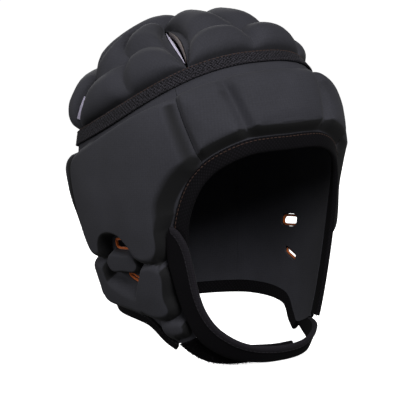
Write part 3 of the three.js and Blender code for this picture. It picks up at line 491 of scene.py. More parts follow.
def bevel_share(out):
    """Height of a pad from 0 to 1. out is the distance outside its crest, in bevel widths."""
    slope = soft_limit(PAD_SLOPE * (1 - out), 1.0, CREST_ROUNDING)
    return np.maximum(-soft_limit(-slope, 0.0, FOOT_ROUNDING), 0)


def channel(distance, reach, left):
    """Height share across a soft channel: left on its line, full at its reach."""
    part = np.clip(np.abs(distance) / reach, 0, 1)
    return blend(left, 1, (1 - np.cos(np.pi * part**VALLEY_POWER)) / 2)


def tape_depth(turn):
    turn = np.asarray(turn, float)

    def above_line(depth):
        along = wall_point(turn, depth)[..., 1]
        return depth - TAPE_LEVEL - TAPE_TILT * along + TAPE_BOW * along**2

    return solve(above_line, 2, DOME_HEIGHT, turn.shape)


def tape_on_dome(turn):
    slope = slope_of(turn, tape_depth(turn))
    return np.stack([slope * np.sin(np.radians(turn)), -slope * np.cos(np.radians(turn))], axis=-1)


def coons(first, second, top, bottom, s, t):
    """Place inside four edge curves: first and second run down, top and bottom run across."""
    s3, t3 = s[..., None], t[..., None]
    zero, one = np.zeros_like(t), np.ones_like(t)
    across = blend(first(t), second(t), s3)
    down = blend(top(s), bottom(s), t3)
    corners = blend(blend(first(zero), second(zero), s3), blend(first(one), second(one), s3), t3)
    return across + down - corners


print("tape dips from %.0f mm in front to %.0f mm behind" % (tape_depth(0.0), tape_depth(180.0)))

# %% [markdown]
# ## Swelling the pads with a cloth simulation
# The knit is stretched over foam that pushes it outwards, and the seams hold it down. Blender's cloth does
# just that: the seam points are pinned, a pressure pushes from inside, and twenty frames let it settle. It
# is tuned for garments, so a pad of a few centimetres is simulated at forty times its size. We start a
# little low, cap how far a point may go and keep only the final shape, so that no simulation is left. A
# petal that starts in a single point would stop the simulation, so that row is left out of it.

# %% The swelling helper
SWELL_FRAMES = 20
SWELL_SCALE = 0.04
SINGLE_POINT_MM = 0.01
INWARD_SHARE = 0.3
SIDEWAYS_SHARE = 0.4
STRETCHED_KNIT = {
    "quality": 6, "mass": 0.06, "tension_stiffness": 12, "compression_stiffness": 12, "shear_stiffness": 6,
    "bending_stiffness": 0.6, "air_damping": 6, "vertex_group_mass": "seam", "pin_stiffness": 1.0,
    "use_pressure": True, "uniform_pressure_force": 4.0,
}


def swell(outer, inner, pinned, cap):
    rows, columns = outer.shape[:2]
    if np.ptp(outer[0], axis=0).max() < SINGLE_POINT_MM:
        rest = swell(outer[1:], inner[1:], pinned[1:], cap)
        return np.concatenate([outer[:1], rest])
    mesh = bpy.data.meshes.new("swelling")
    flat = outer.reshape(-1, 3)
    mesh.from_pydata(flat * SWELL_SCALE, [], grid_quads(rows, columns).tolist())
    probe = add_object("swelling", mesh)
    outward = unit(outer - inner).reshape(-1, 3)
    mesh.update()
    face_normals = np.array([f.normal for f in mesh.polygons])
    middles = outward[np.array([f.vertices[0] for f in mesh.polygons])]
    if (face_normals * middles).sum() < 0:
        mesh.flip_normals()
    group = probe.vertex_groups.new(name="seam")
    group.add(np.nonzero(pinned.ravel())[0].tolist(), 1.0, "REPLACE")
    cloth = probe.modifiers.new("Cloth", "CLOTH")
    for setting, value in STRETCHED_KNIT.items():
        setattr(cloth.settings, setting, value)
    cloth.settings.effector_weights.gravity = 0
    cloth.collision_settings.use_collision = False
    scene = bpy.context.scene
    for step in range(1, SWELL_FRAMES + 1):
        scene.frame_set(step)
    evaluated = probe.evaluated_get(bpy.context.evaluated_depsgraph_get())
    moved = np.zeros(len(flat) * 3)
    evaluated.data.vertices.foreach_get("co", moved)
    travel = moved.reshape(-1, 3) / SWELL_SCALE - flat
    scene.frame_set(1)
    bpy.data.objects.remove(probe)
    straight = (travel * outward).sum(1, keepdims=True)
    out = np.clip(straight, -INWARD_SHARE * cap, cap)
    sideways = travel - straight * outward
    slip = np.maximum(np.linalg.norm(sideways, axis=1, keepdims=True), 1e-6)
    sideways *= np.minimum(1, SIDEWAYS_SHARE * cap / slip)
    print("swell: %.2f mm on average, %.2f at most" % (out.mean(), out.max()))
    return (flat + out * outward + sideways).reshape(outer.shape)


# %% [markdown]
# ## Crown: four quilted petals
# On top, four petals meet. Each is moulded into two rows and two columns of pads, and beside each slit vent
# it is pressed flat into a narrow flange. A petal is a patch between two slit edges, a short top edge and
# the tape, and its thickness is the product of the shares beside every seam. We lay the grid lines along
# the seams, so that the valleys keep their line after the swelling.

# %% Slits and petal edges
CROWN_PAD = 13
CROWN_ROUNDING = 16
CROWN_FULLNESS = 0.8
CROWN_SEAM_LEFT = 0.45
CROWN_SEAM_ROUNDING = 13
PLAIN_BORDER = {"flange": 4.5, "rounding": 16}
STEEP_BORDER = {"flange": 1, "rounding": 7}
WIDE_BORDER = {"flange": 7, "rounding": 22}
TAPE_ROOM = 0.6
TAPE_FLANGE = 1.2
APEX_ACROSS = 15.6
APEX_ALONG = 2.1
APEX_CLEAR = 0.8
APEX_PULL = 8
FRONT_SLIT = {"foot_turn": 40.2, "opens": 0.02, "closes": 0.93, "width": 6.5}
REAR_SLIT = {"foot_turn": 124, "opens": 0.56, "closes": 0.93, "width": 5.5}
SIDE_COLUMN = 0.45
QUILT_CELLS = 34
CROWN_SWELL = 1.2
CROWN_SHADE = 0.1
SEAM_PIN_MM = 0.6
FLANGE_PIN_MM = 0.4
SLIT_POWER = 0.8
EASING = 0.65


def slit_opening(slit, part):
    inside = ramp(part, slit["opens"], slit["closes"])
    return slit["width"] * np.clip(np.sin(np.pi * inside), 0, 1) ** SLIT_POWER


def slit_line(slit, side, part):
    top = np.array([side * APEX_ACROSS, APEX_ALONG])
    foot = tape_on_dome(np.array(side * slit["foot_turn"], float))
    return blend(top, foot, np.asarray(part, float)[..., None])


def petal_edge(slit, side, way):
    run = slit_line(slit, side, 1.0) - slit_line(slit, side, 0.0)
    length = np.hypot(*run)
    aside = np.array([-run[1], run[0]]) / length
    start = GAP / DOME_MM_PER_DEGREE / length

    def edge(share):
        part = blend(start, 1, np.asarray(share, float))
        offset = way * (slit_opening(slit, part) + GAP) / 2 / DOME_MM_PER_DEGREE
        return slit_line(slit, side, part) + offset[..., None] * aside

    return edge


def apart(a, b):
    return np.linalg.norm(a - b, axis=-1)


def eased(count):
    """Steps from 0 to 1 that crowd towards both ends, where the pads curve most."""
    even = np.linspace(0, 1, count + 1)
    return blend(even, (1 - np.cos(np.pi * even)) / 2, EASING)


for label, slit in (("front", FRONT_SLIT), ("rear", REAR_SLIT)):
    print(label, "slits open to", slit["width"], "mm")

# %% [markdown]
# One petal takes four steps: draw its four edges, lay the grid along its seams, multiply the shares beside
# every seam and edge, and let the knit swell.

# %% One petal


def petal(sides, turns, column_at, column_lean, row_at, apex=None):
    """Outer points, inner points and cloth places. A side is a slit, left or right, a way and a border."""
    clear = np.sign(turns[1] - turns[0]) * GAP / DOME_MM_PER_DEGREE

    def bottom(s):
        place = tape_on_dome(blend(turns[0] + clear, turns[1] - clear, s))
        keep = 1 - HIDDEN_GAP / DOME_MM_PER_DEGREE / np.linalg.norm(place, axis=-1)
        return place * keep[..., None]

    def side_edge(index):
        slit, side, way, _ = sides[index]
        edge = petal_edge(slit, side, way)
        start, end = edge(0.0), edge(1.0)
        tip = start if apex is None else np.array(apex)
        foot = bottom(np.array(float(index)))

        def pulled(t):
            low_pull, top_pull = t[..., None], ((1 - t) ** APEX_PULL)[..., None]
            return edge(t) + low_pull * (foot - end) + top_pull * (tip - start)

        return pulled

    first, second = side_edge(0), side_edge(1)
    zero = np.zeros(1)

    def top(s):
        return blend(first(zero)[0], second(zero)[0], s[..., None])

    def place(s, t):
        seam = column_lean(t)
        beyond = blend(seam, 1, (s - column_at) / (1 - column_at))
        return coons(first, second, top, bottom, np.where(s < column_at, s * seam / column_at, beyond), t)

    def on_dome(s, t):
        spot = place(*np.broadcast_arrays(s, t))
        return dome_point(spot[..., 0], spot[..., 1])

    half = eased(QUILT_CELLS)
    columns = np.concatenate([half[:-1] * column_at, blend(column_at, 1, half)])
    row_seam = row_at(columns)
    seam_line, top_line, tape_line = (on_dome(columns, t) for t in (row_seam, 0.0, 1.0))
    lower_quilt = apart(seam_line, tape_line)
    tape_edge = 1 - (1 - row_seam) * (TAPE_HALF_WIDTH + TAPE_ROOM) / lower_quilt
    rows = np.concatenate([
        half[:-1, None] * row_seam,
        blend(row_seam, tape_edge, half[:, None]),
        np.ones((1, len(columns))),
    ])
    s, t = np.broadcast_arrays(columns[None, :], rows)
    here = place(s, t)
    inner, normal = point_and_normal(dome_point, here[..., 0], here[..., 1])
    column_line, *rims = (on_dome(at, t) for at in (column_at, 0.0, 1.0))
    room = np.where(s < column_at, apart(column_line, rims[0]), apart(column_line, rims[1])) / 2
    to_column, to_row = apart(inner, column_line), apart(inner, seam_line)
    pad = channel(to_column, np.clip(room, GAP, CROWN_SEAM_ROUNDING), CROWN_SEAM_LEFT)
    pad = pad * channel(to_row, CROWN_SEAM_ROUNDING, CROWN_SEAM_LEFT)
    for rim, (slit, _, _, border) in zip(rims, sides):
        open_share = slit_opening(slit, t) / slit["width"]
        rounding = np.clip(room, GAP, blend(CROWN_ROUNDING, border["rounding"], open_share))
        pad = pad * rise(apart(inner, rim) - border["flange"] * open_share, rounding)
    to_tape = apart(inner, tape_line) - TAPE_HALF_WIDTH - TAPE_FLANGE
    pad = pad * rise(apart(inner, top_line), CROWN_ROUNDING) * rise(to_tape, CROWN_ROUNDING)
    lift = FLANGE + (CROWN_PAD - CROWN_SWELL / 2) * pad**CROWN_FULLNESS
    outer = inner + normal * lift[..., None]
    pinned = (lift < FLANGE + FLANGE_PIN_MM) | (to_column < SEAM_PIN_MM) | (to_row < SEAM_PIN_MM)
    outer = swell(outer, inner, pinned, CROWN_SWELL)
    return outer, inner, here * DOME_MM_PER_DEGREE


# %% [markdown]
# The seams are not straight. Their rules give the share of the way down a petal for a share across it, or
# the other way round for the leaning seam, read off the photo. The left petal mirrors the right one.

# %% The four petals


def front_row(s):
    return 0.575 + 1.6 * (np.abs(s - 0.5) - 0.25) ** 2


def side_row(s):
    return np.where(s < SIDE_COLUMN, 0.452 + 1.9 * (s - 0.3) ** 2, 0.495 + 0.25 * (s - SIDE_COLUMN))


def side_lean(t):
    """The middle seam of a side petal leans back on its way up, most of all above the row seam."""
    return np.minimum(0.375 + 0.3 * (1 - t) + 1.3 * np.maximum(0, 0.46 - t), 0.88)


def upright(t):
    return np.full_like(t, 0.5)


def back_row(s):
    return 0.5 + 0.08 * (2 * s - 1) ** 2


def mirrored(points):
    return points * [-1, 1, 1]


front_turn, rear_turn = FRONT_SLIT["foot_turn"], REAR_SLIT["foot_turn"]
front_sides = [(FRONT_SLIT, -1, 1, PLAIN_BORDER), (FRONT_SLIT, 1, -1, PLAIN_BORDER)]
back_sides = [(REAR_SLIT, -1, -1, STEEP_BORDER), (REAR_SLIT, 1, 1, STEEP_BORDER)]
right_sides = [(FRONT_SLIT, -1, -1, PLAIN_BORDER), (REAR_SLIT, -1, 1, WIDE_BORDER)]
right_apex = (-APEX_ACROSS - APEX_CLEAR, APEX_ALONG)
crown = {
    "crown_front": petal(front_sides, [-front_turn, front_turn], 0.5, upright, front_row),
    "crown_back": petal(back_sides, [-rear_turn, rear_turn - 360], 0.5, upright, back_row),
    "crown_right": petal(right_sides, [-front_turn, -rear_turn], SIDE_COLUMN, side_lean, side_row,
                         right_apex),
}
right_outer, right_inner, right_cloth = crown["crown_right"]
crown["crown_left"] = (mirrored(right_outer), mirrored(right_inner), right_cloth)
for name, (outer, inner, cloth) in crown.items():
    quilt = shell(name, outer, inner, cloth, shade=CROWN_SHADE)
    settle(quilt, name, "shell_cloth", KNIT_OVER_FOAM)

# %% [markdown]
# ## Brow and back of the band
# The band is thicker than the crown. Under the tape it keeps a flat flange, then the pad bevels up to a flat
# plateau and drops steeply to the face edge. Soft channels between the pads let the band bend round a head.
# Foam is never quite even, so a slow ripple of up to a quarter of a millimetre runs over each plateau.

# %% Face edge and front panel
BAND_PAD = 10.2
BAND_FLANGE = 9
BAND_BEVEL = 9
CHANNEL_LEFT = 0.42
JOINT_CHANNEL = {"left": 0.5, "front_reach": 4, "side_reach": 11}
BROW_CHANNEL_REACH = 7
BINDING_BITE = 1.02
BAND_SWELL = 0.8
PLATEAU_SHARE = 0.93
BROW_TOP_TURN = 48.4
BROW_FOOT = 0.252
BROW_LEAN = 1.55
BROW_CLEAR = 0.001
BROW_CHANNEL = 0.212
BROW_CREST = 7.4
BROW_BEVEL = 5.4
FACE_EDGE = {
    "turn": [0, 9, 17.6, 25.8, 33.9, 38.1, 42.6, 46.7, 49.2, 50.8, 51.2, 50.5, 49, 46.8, 45.2],
    "depth": [76.5, 76.4, 77.4, 81.2, 87.9, 93.6, 102.1, 114.3, 124.6, 135, 150, 165, 181, 198, 210.6],
}
LOWER_EDGE = {
    "turn": [45.2, 52, 61.3, 69.5, 76.5, 83, 97, 118, 128],
    "depth": [210.6, 214.2, 216.4, 211, 203.5, 198.7, 194.6, 191.6, 191],
}
JAW_END_ROWS = 2
RIPPLE = 0.12
FRONT_POINTS = {"rows": 80, "columns": 171}


def table_rows(table):
    return np.stack([table["turn"], table["depth"]], axis=1)


face_curve = curve_through(table_rows(FACE_EDGE))
lower_curve = curve_through(table_rows(LOWER_EDGE))


def two_sided(places, side):
    """Places on the wearer's left, with those on the other side turned over."""
    return places * np.stack([side, np.ones_like(side)], axis=-1)


def front_joint(side, shift):
    top_turn = side * BROW_TOP_TURN
    top = np.array([top_turn, float(tape_depth(top_turn)) + HIDDEN_GAP])
    foot = face_curve(BROW_FOOT) * [side, 1]
    offset = np.array([side * shift * GAP / 2 / MM_PER_DEGREE, 0])
    return lambda part: blend(top, foot, part[..., None]) + offset


def ripple(place):
    x, y = place[..., 0] * MM_PER_DEGREE, place[..., 1]
    waves = np.sin(x / 7.3 + 0.4) * np.sin(y / 9.1 + 1.3)
    waves = waves + 0.6 * np.sin(x / 4.1 - y / 5.7) + 0.5 * np.sin(y / 3.6 + 2)
    return RIPPLE * waves


def wall_shell(name, place, lift, pinned, cap, keep=None):
    inner, normal = point_and_normal(wall_point, place[..., 0], place[..., 1])
    outer = inner + normal * lift[..., None]
    if cap:
        outer = swell(outer, inner, pinned, cap)
    return shell(name, outer, inner, place * [MM_PER_DEGREE, 1], keep)


def front_panel():
    joints = [front_joint(side, -1) for side in (-1, 1)]
    ends = [joint(np.zeros(1))[0] for joint in joints]

    def top(s):
        turn = blend(ends[0][0], ends[1][0], s)
        return np.stack([turn, tape_depth(turn) + HIDDEN_GAP], axis=-1)

    def bottom(s):
        part = np.abs(2 * s - 1) ** BROW_LEAN * (BROW_FOOT - BROW_CLEAR)
        return two_sided(face_curve(part), np.where(s < 0.5, -1, 1))

    def place_at(s, t):
        return coons(joints[0], joints[1], top, bottom, s, t)

    columns = np.linspace(0, 1, FRONT_POINTS["columns"])
    height = bottom(columns)[:, 1] - top(columns)[:, 1]
    rows = np.linspace(0, 1, FRONT_POINTS["rows"])[:, None] * (1 - BINDING_BITE / height)
    s, t = np.broadcast_arrays(columns[None, :], rows)
    place = place_at(s, t)
    from_top = place[..., 1] - top(s)[..., 1]
    to_edge = bottom(s)[..., 1] - place[..., 1]
    share = rise(from_top - BAND_FLANGE - GAP, BAND_BEVEL) * bevel_share((BROW_CREST - to_edge) / BROW_BEVEL)
    for at in (0, BROW_CHANNEL, 1 - BROW_CHANNEL, 1):
        beside = np.abs(place[..., 0] - place_at(np.full_like(s, at), t)[..., 0]) * MM_PER_DEGREE
        if at in (0, 1):
            share = share * channel(beside, JOINT_CHANNEL["front_reach"], JOINT_CHANNEL["left"])
        else:
            share = share * channel(beside, BROW_CHANNEL_REACH, CHANNEL_LEFT)
    lift = FLANGE + (BAND_PAD - BAND_SWELL / 2 + ripple(place)) * share
    pinned = share < PLATEAU_SHARE
    return wall_shell("front_panel", place, lift, pinned, BAND_SWELL)


settle(front_panel(), "front_panel", "shell_cloth", KNIT_OVER_FOAM)

# %% [markdown]
# The back is not seen in the photo, so it stays plain: two upper and two lower pads with soft channels
# between them. They are pinned only low on their slopes, so that the whole pad can swell.

# %% Back panel
BACK_TURN = 128
BACK_CHANNEL_DEPTH = 154
BACK_CHANNEL_LEFT = 0.15
BACK_REACH_MM = 11
BACK_HELD_SHARE = 0.5
NAPE_LIP = 1.5
NAPE_BEVEL = 6
BACK_POINTS = {"rows": 121, "columns": 171}


def back_panel():
    first = BACK_TURN + GAP / 2 / MM_PER_DEGREE
    second = 360 - first
    lower = LOWER_EDGE["depth"][-1]
    turn = np.linspace(first, second, BACK_POINTS["columns"])
    upper = tape_depth(turn) + HIDDEN_GAP
    rows = np.linspace(0, 1, BACK_POINTS["rows"])[:, None]
    depth = blend(upper, lower - BINDING_BITE, rows)
    place = np.stack(np.broadcast_arrays(turn[None, :], depth), axis=-1)
    share = channel((place[..., 0] - 180) * MM_PER_DEGREE, BACK_REACH_MM, CHANNEL_LEFT)
    share = share * channel(depth - BACK_CHANNEL_DEPTH, BACK_REACH_MM, BACK_CHANNEL_LEFT)
    for edge in (first, second):
        share = share * channel((place[..., 0] - edge) * MM_PER_DEGREE, BACK_REACH_MM, BACK_CHANNEL_LEFT)
    share = share * rise(depth - upper - BAND_FLANGE - GAP, BAND_BEVEL)
    share = share * rise(lower - depth - NAPE_LIP, NAPE_BEVEL)
    lift = FLANGE + (BAND_PAD - BAND_SWELL / 2 + ripple(place)) * share
    pinned = share < BACK_HELD_SHARE
    return wall_shell("back_panel", place, lift, pinned, BAND_SWELL)


settle(back_panel(), "back_panel", "shell_cloth", KNIT_OVER_FOAM)

# %% [markdown]
# ## Side panels with raised pads and ear ports
# A side panel is one thin wall with five foam pads moulded on it: a large side pad with an arch over the
# ear, a small bar between the ear ports, and pads behind, below and in front. Each pad is a closed outline,
# and its height depends on the distance to that outline. The bevel has one width for each pad, except that
# it is steep in the arch and under the tape, and runs out wide beside the face. The outlines are tables of
# turns and depths along each crest, read off the photo.

# %% Pad outlines and ear ports
SIDES = {"right": -1, "left": 1}
SIDE_JOINT = 0.26
PLATEAU_CROWN = 0.6
PLATEAU_REACH = 20
ARCH_REGION = {"from_ear": (15, 11), "depth": (130, 136)}
EAR_TURN = 90
NAPE_LINE = {"turn": [57, 122], "depth": [186, 178]}
BEVEL_REGIONS = [
    {"bevel": 9.5, "turn": (66, 62), "depth": (86, 94)},
    {"bevel": 5, "turn": (62, 59), "depth": (124, 134)},
    {"bevel": 6.5, "turn": (58, 62), "below_nape_line": (0, 6)},
    {"bevel": 3.5, "turn": (110, 102), "below_tape": (16, 12)},
]
SIDE_PADS = [
    {
        "height": BAND_PAD, "bevel": 6.5, "arch_bevel": 2.4,
        "turn": [36, 48.6, 62, 80, 99, 118, 121.5, 121, 118, 113, 105.5, 103, 98.5, 91, 82.5, 76.6, 73, 67.5,
                 61, 57.8, 57.4, 56.2, 48, 37, 29],
        "depth": [43, 51, 57, 66.5, 76, 86.5, 93, 120, 143, 151, 150.5, 144, 138, 135.6, 137.6, 144.5, 151.5,
                  154, 152.6, 147, 132, 115, 95, 82, 61],
    },
    {
        "height": 7.5, "bevel": 3,
        "turn": [98, 88, 77, 73.8, 76.6, 88, 99, 101.5],
        "depth": [152.4, 152, 152.4, 158.2, 162.4, 163, 163, 158],
    },
    {
        "height": 8.7, "bevel": 7,
        "turn": [121.5, 112, 108.5, 107, 98, 90, 83, 77, 73, 79, 89, 103, 119, 122],
        "depth": [161, 160, 163, 171, 176.5, 180, 181.5, 181, 187, 191.6, 190, 187.6, 185, 180],
    },
    {
        "height": 8.7, "bevel": 4.5,
        "turn": [70, 61, 58, 58.6, 57, 62, 77, 82, 79, 74],
        "depth": [160.4, 160.2, 164.5, 180, 190, 194, 192, 186, 177, 167.5],
    },
    {
        "height": 5, "bevel": 3,
        "turn": [67.5, 60, 53, 52.3, 59, 66.5],
        "depth": [203, 201.4, 201.6, 205.6, 208, 206.6],
    },
]
EAR_PORTS = {
    "upper": {"turn": 90, "depth": 145.6, "half_length": 10.5, "half_height": 4.6, "drop": 0},
    "lower": {"turn": 85.5, "depth": 169.6, "half_length": 8.6, "half_height": 3, "drop": 0.36},
}
PORT_POWER = 4
SIDE_COLUMNS = 151
SIDE_ROWS = {"beside_brow": 54, "below_brow": 150}
OUTLINE_POINTS = 180
BOUND_RUN = 4


def outline_distance(points, outline):
    """Distance to a closed outline, negative inside it."""
    a, b = outline, np.roll(outline, -1, axis=0)
    nearest = np.full(len(points), 1e9)
    inside = np.zeros(len(points), bool)
    for p, q in zip(a, b):
        along = q - p
        share = np.clip(((points - p) @ along) / (along @ along), 0, 1)
        nearest = np.minimum(nearest, np.linalg.norm(points - p - share[:, None] * along, axis=1))
        crosses = (p[1] > points[:, 1]) != (q[1] > points[:, 1])
        if along[1]:
            inside ^= crosses & (points[:, 0] < p[0] + along[0] * (points[:, 1] - p[1]) / along[1])
    return np.where(inside, -nearest, nearest)


def port_measure(port, place):
    """A measure under 1 inside the port, then the offset from its centre in mm along and down."""
    along = (place[..., 0] - port["turn"]) * MM_PER_DEGREE
    down = place[..., 1] - port["depth"] + port["drop"] * along
    parts = [np.abs(along / port["half_length"]), np.abs(down / port["half_height"])]
    return parts[0] ** PORT_POWER + parts[1] ** PORT_POWER, along, down


def region_share(region, measures):
    """1 inside a region and 0 outside, with a ramp between for each of its limits."""
    share = 1.0
    for name, limits in region.items():
        if name in measures:
            share = share * ramp(measures[name], *limits)
    return share


print("pads on a side panel:", len(SIDE_PADS), "ear ports:", len(EAR_PORTS))

# %% [markdown]
# Two ports go right through a side panel. Boolean cutters would leave long thin faces, so the grid itself is
# opened, and the points round the opening are moved onto the port's outline.

# %% Side panels


def side_places():
    joint = front_joint(1, 1)
    top_start = joint(np.zeros(1))[0, 0]
    rear_turn = BACK_TURN - GAP / 2 / MM_PER_DEGREE

    def front(t):
        on_joint = joint(ramp(t, 0, SIDE_JOINT))
        on_edge = face_curve(blend(BROW_FOOT + BROW_CLEAR, 1, ramp(t, SIDE_JOINT, 1)))
        return np.where((t < SIDE_JOINT)[..., None], on_joint, on_edge)

    def top(s):
        turn = blend(top_start, rear_turn, s)
        return np.stack([turn, tape_depth(turn) + HIDDEN_GAP], axis=-1)

    low = lower_curve(1.0)[1]
    high = top(np.ones(1))[0, 1]

    def rear(t):
        return np.stack([np.full_like(t, rear_turn), blend(high, low, t)], axis=-1)

    s = np.linspace(0, 1, SIDE_COLUMNS)[None, :]
    beside_brow = np.linspace(0, SIDE_JOINT, SIDE_ROWS["beside_brow"])[:-1]
    below_brow = np.linspace(SIDE_JOINT, 1, SIDE_ROWS["below_brow"])
    t = np.concatenate([beside_brow, below_brow])[:, None]
    width = (rear(t[:, 0])[:, 0] - front(t[:, 0])[:, 0]) * MM_PER_DEGREE
    inset = np.where(t[:, 0] >= SIDE_JOINT, BINDING_BITE / width, 0)[:, None]
    height = lower_curve(s[0])[:, 1] - top(s[0])[:, 1]
    bound = ramp(lower_curve(s[0])[:, 0] - LOWER_EDGE["turn"][JAW_END_ROWS], 0, BOUND_RUN)
    s, t = np.broadcast_arrays(blend(inset, 1, s), t * (1 - bound * BINDING_BITE / height)[None, :])
    return coons(front, rear, top, lower_curve, s, t)


def side_panel():
    place = side_places()
    rows, columns = place.shape[:2]
    middles = (place[:-1, :-1] + place[1:, :-1] + place[:-1, 1:] + place[1:, 1:]) / 4
    keep = np.ones((rows - 1, columns - 1), bool)
    for port in EAR_PORTS.values():
        cut = port_measure(port, middles)[0] < 1
        keep &= ~cut
        touches = np.zeros((rows, columns, 2), int)
        for flag in (0, 1):
            for down, right in ((0, 0), (0, 1), (1, 0), (1, 1)):
                touches[down:rows - 1 + down, right:columns - 1 + right, flag] += cut == bool(flag)
        rim = (touches > 0).all(axis=-1)
        measure, along, down = port_measure(port, place[rim])
        scale = measure ** (-1 / PORT_POWER)
        place[rim, 0] = port["turn"] + along * scale / MM_PER_DEGREE
        place[rim, 1] = port["depth"] + down * scale - port["drop"] * along * scale
    flat = place.reshape(-1, 2) * [MM_PER_DEGREE, 1]
    turn, depth = place.reshape(-1, 2).T
    measures = {
        "turn": turn, "depth": depth, "from_ear": np.abs(turn - EAR_TURN),
        "below_nape_line": depth - np.interp(turn, NAPE_LINE["turn"], NAPE_LINE["depth"]),
        "below_tape": depth - tape_depth(turn),
    }
    in_arch = region_share(ARCH_REGION, measures)
    regions = [(region["bevel"], region_share(region, measures)) for region in BEVEL_REGIONS]
    top, foot = front_joint(1, 0)(np.array([0.0, 1.0]))
    to_joint = (turn - np.interp(depth, [top[1], foot[1]], [top[0], foot[0]])) * MM_PER_DEGREE
    to_joint = to_joint + np.maximum(depth - foot[1], 0)
    lift = np.zeros(len(flat))
    for pad in SIDE_PADS:
        outline = curve_through(table_rows(pad) * [MM_PER_DEGREE, 1], closed=True)
        distance = outline_distance(flat, outline(np.linspace(0, 1, OUTLINE_POINTS + 1)[:-1]))
        bevel = blend(pad["bevel"], pad.get("arch_bevel", pad["bevel"]), in_arch)
        for region_bevel, inside in regions:
            bevel = blend(bevel, region_bevel, inside)
        share = bevel_share(distance / bevel)
        if "arch_bevel" in pad:
            share = share * channel(to_joint, JOINT_CHANNEL["side_reach"], JOINT_CHANNEL["left"])
        crown_rise = PLATEAU_CROWN * (1 - np.exp(np.minimum(distance, 0) / PLATEAU_REACH))
        uneven = ripple(place).ravel() * share
        lift = np.maximum(lift, pad["height"] * share + crown_rise + uneven)
    lift = FLANGE + lift.reshape(rows, columns)
    return place, lift, keep


side_place, side_lift, side_keep = side_panel()
for label, side in SIDES.items():
    panel = wall_shell("side_panel_" + label, side_place * [side, 1], side_lift, None, 0, side_keep)
    settle(panel, "side_panel_" + label, "shell_cloth", KNIT_OVER_FOAM)

# %% [markdown]
# ## Tapes and bindings
# Woven tape covers the joint of crown and band, and folded tape binds the raw edges of the face and the
# nape. Each is one section, drawn in millimetres sideways and off the head, and carried along a path on the
# head surface. A curve with a bevel object would do it too, but this way the tape stays flat on the head.

# %% Tapes and bindings
TAPE_THICKNESS = 1.5
TAPE_CORNER = 0.3
TAPE_SHOULDER = 0.5
TAPE_FALL = 0.25
BINDING_START = -1.0
BINDING_END = 0.004
BINDING_NOSE = 2
BINDING_LIFT = {"middle": 2.3, "face": 4.3, "crown": 0.25, "low_edge": 0.25, "high_edge": 3.9}
BINDINGS = {"face_binding": {"width": 9.6, "rings": 520}, "nape_binding": {"width": 8, "rings": 420}}


def frame_along(places, closed=False):
    """Points on the head surface, with the outward and sideways directions there."""
    turn, depth = places[:, 0], places[:, 1]
    point = wall_point(turn, depth)
    outward = lifted(wall_point, turn, depth, np.ones(len(places))) - point
    if closed:
        ahead = np.roll(point, -1, axis=0) - np.roll(point, 1, axis=0)
    else:
        ahead = np.gradient(point, axis=0)
    return point, outward, unit(np.cross(outward, ahead))


def ribbon(name, places, section, closed=False):
    point, outward, sideways = frame_along(places, closed)
    across, off = np.asarray(section, float).T[:, None, :, None]
    rings = point[:, None] + sideways[:, None] * across + outward[:, None] * off
    return loft(name, rings, closed)


def face_binding_path(part):
    return two_sided(face_curve(np.abs(2 * part - 1)), np.where(part < 0.5, 1, -1))


nape_rows = table_rows(LOWER_EDGE)[JAW_END_ROWS:]
nape_curve = curve_through(np.concatenate([nape_rows, [[180, nape_rows[-1, 1]]]]))


def nape_binding_path(part):
    return two_sided(nape_curve(1 - np.abs(2 * part - 1)), np.where(part < 0.5, -1, 1))


def tape_section(half, low, high):
    flat, corner, shoulder = half - TAPE_CORNER, low + TAPE_CORNER, high - TAPE_SHOULDER
    across = np.linspace(flat, -flat, 9)
    top = np.stack([across, high - TAPE_FALL * (across / half) ** 4], axis=1)
    under = [[-half, corner], [-flat, low], [flat, low], [half, corner], [half, shoulder]]
    return np.concatenate([under, top, [[-half, shoulder]]])


def binding_section(width):
    """Folded tape: a round free edge, and a gently crowned outer face that thins towards the panel."""
    turn = np.linspace(-np.pi / 2, np.pi / 2, 9)
    nose = np.stack([width - BINDING_NOSE + BINDING_NOSE * np.cos(turn),
                     BINDING_LIFT["middle"] + BINDING_NOSE * np.sin(turn)], axis=1)
    across = np.linspace(width - 3, BINDING_START + 0.4, 8)
    crowned = BINDING_LIFT["crown"] * np.sin(np.pi * (across - BINDING_START) / width)
    face = np.stack([across, BINDING_LIFT["face"] + crowned], axis=1)
    low_edge, high_edge = ([[BINDING_START, BINDING_LIFT[end]]] for end in ("low_edge", "high_edge"))
    return np.concatenate([low_edge, nose, face, high_edge])


round_head = girth_turns[:-1]
tape_path = np.stack([round_head, tape_depth(round_head)], axis=-1)
tape_low = FLANGE + HIDDEN_GAP
tape_shape = tape_section(TAPE_HALF_WIDTH, tape_low, tape_low + TAPE_THICKNESS)
tape = ribbon("crown_tape", tape_path, tape_shape, closed=True)
settle(tape, "crown_tape", "woven_tape", CROWN_WEBBING)
paths = {"crown_tape": np.concatenate([tape_path, tape_path[:1]])}
for node, path_at in (("face_binding", face_binding_path), ("nape_binding", nape_binding_path)):
    binding = BINDINGS[node]
    paths[node] = path_at(np.linspace(BINDING_END, 1 - BINDING_END, binding["rings"]))
    folded = ribbon(node, paths[node], binding_section(binding["width"]))
    settle(folded, node, "woven_tape", TWILL_BINDING)
for label, path in paths.items():
    length = np.linalg.norm(np.diff(wall_point(path[:, 0], path[:, 1]), axis=0), axis=1).sum()
    print("%s length: %.0f mm" % (label, length))

# %% [markdown]
# ## Chin straps
# A foam strap with hooks under its free end comes from the left jaw flap, passes under the chin and lies on
# the right cheek. A shorter strap of loop pile is sewn to the right flap and passes below it. Each strap is
# a ribbon between two edge curves. Its long edges are rounded, and it is a little fuller in the middle.

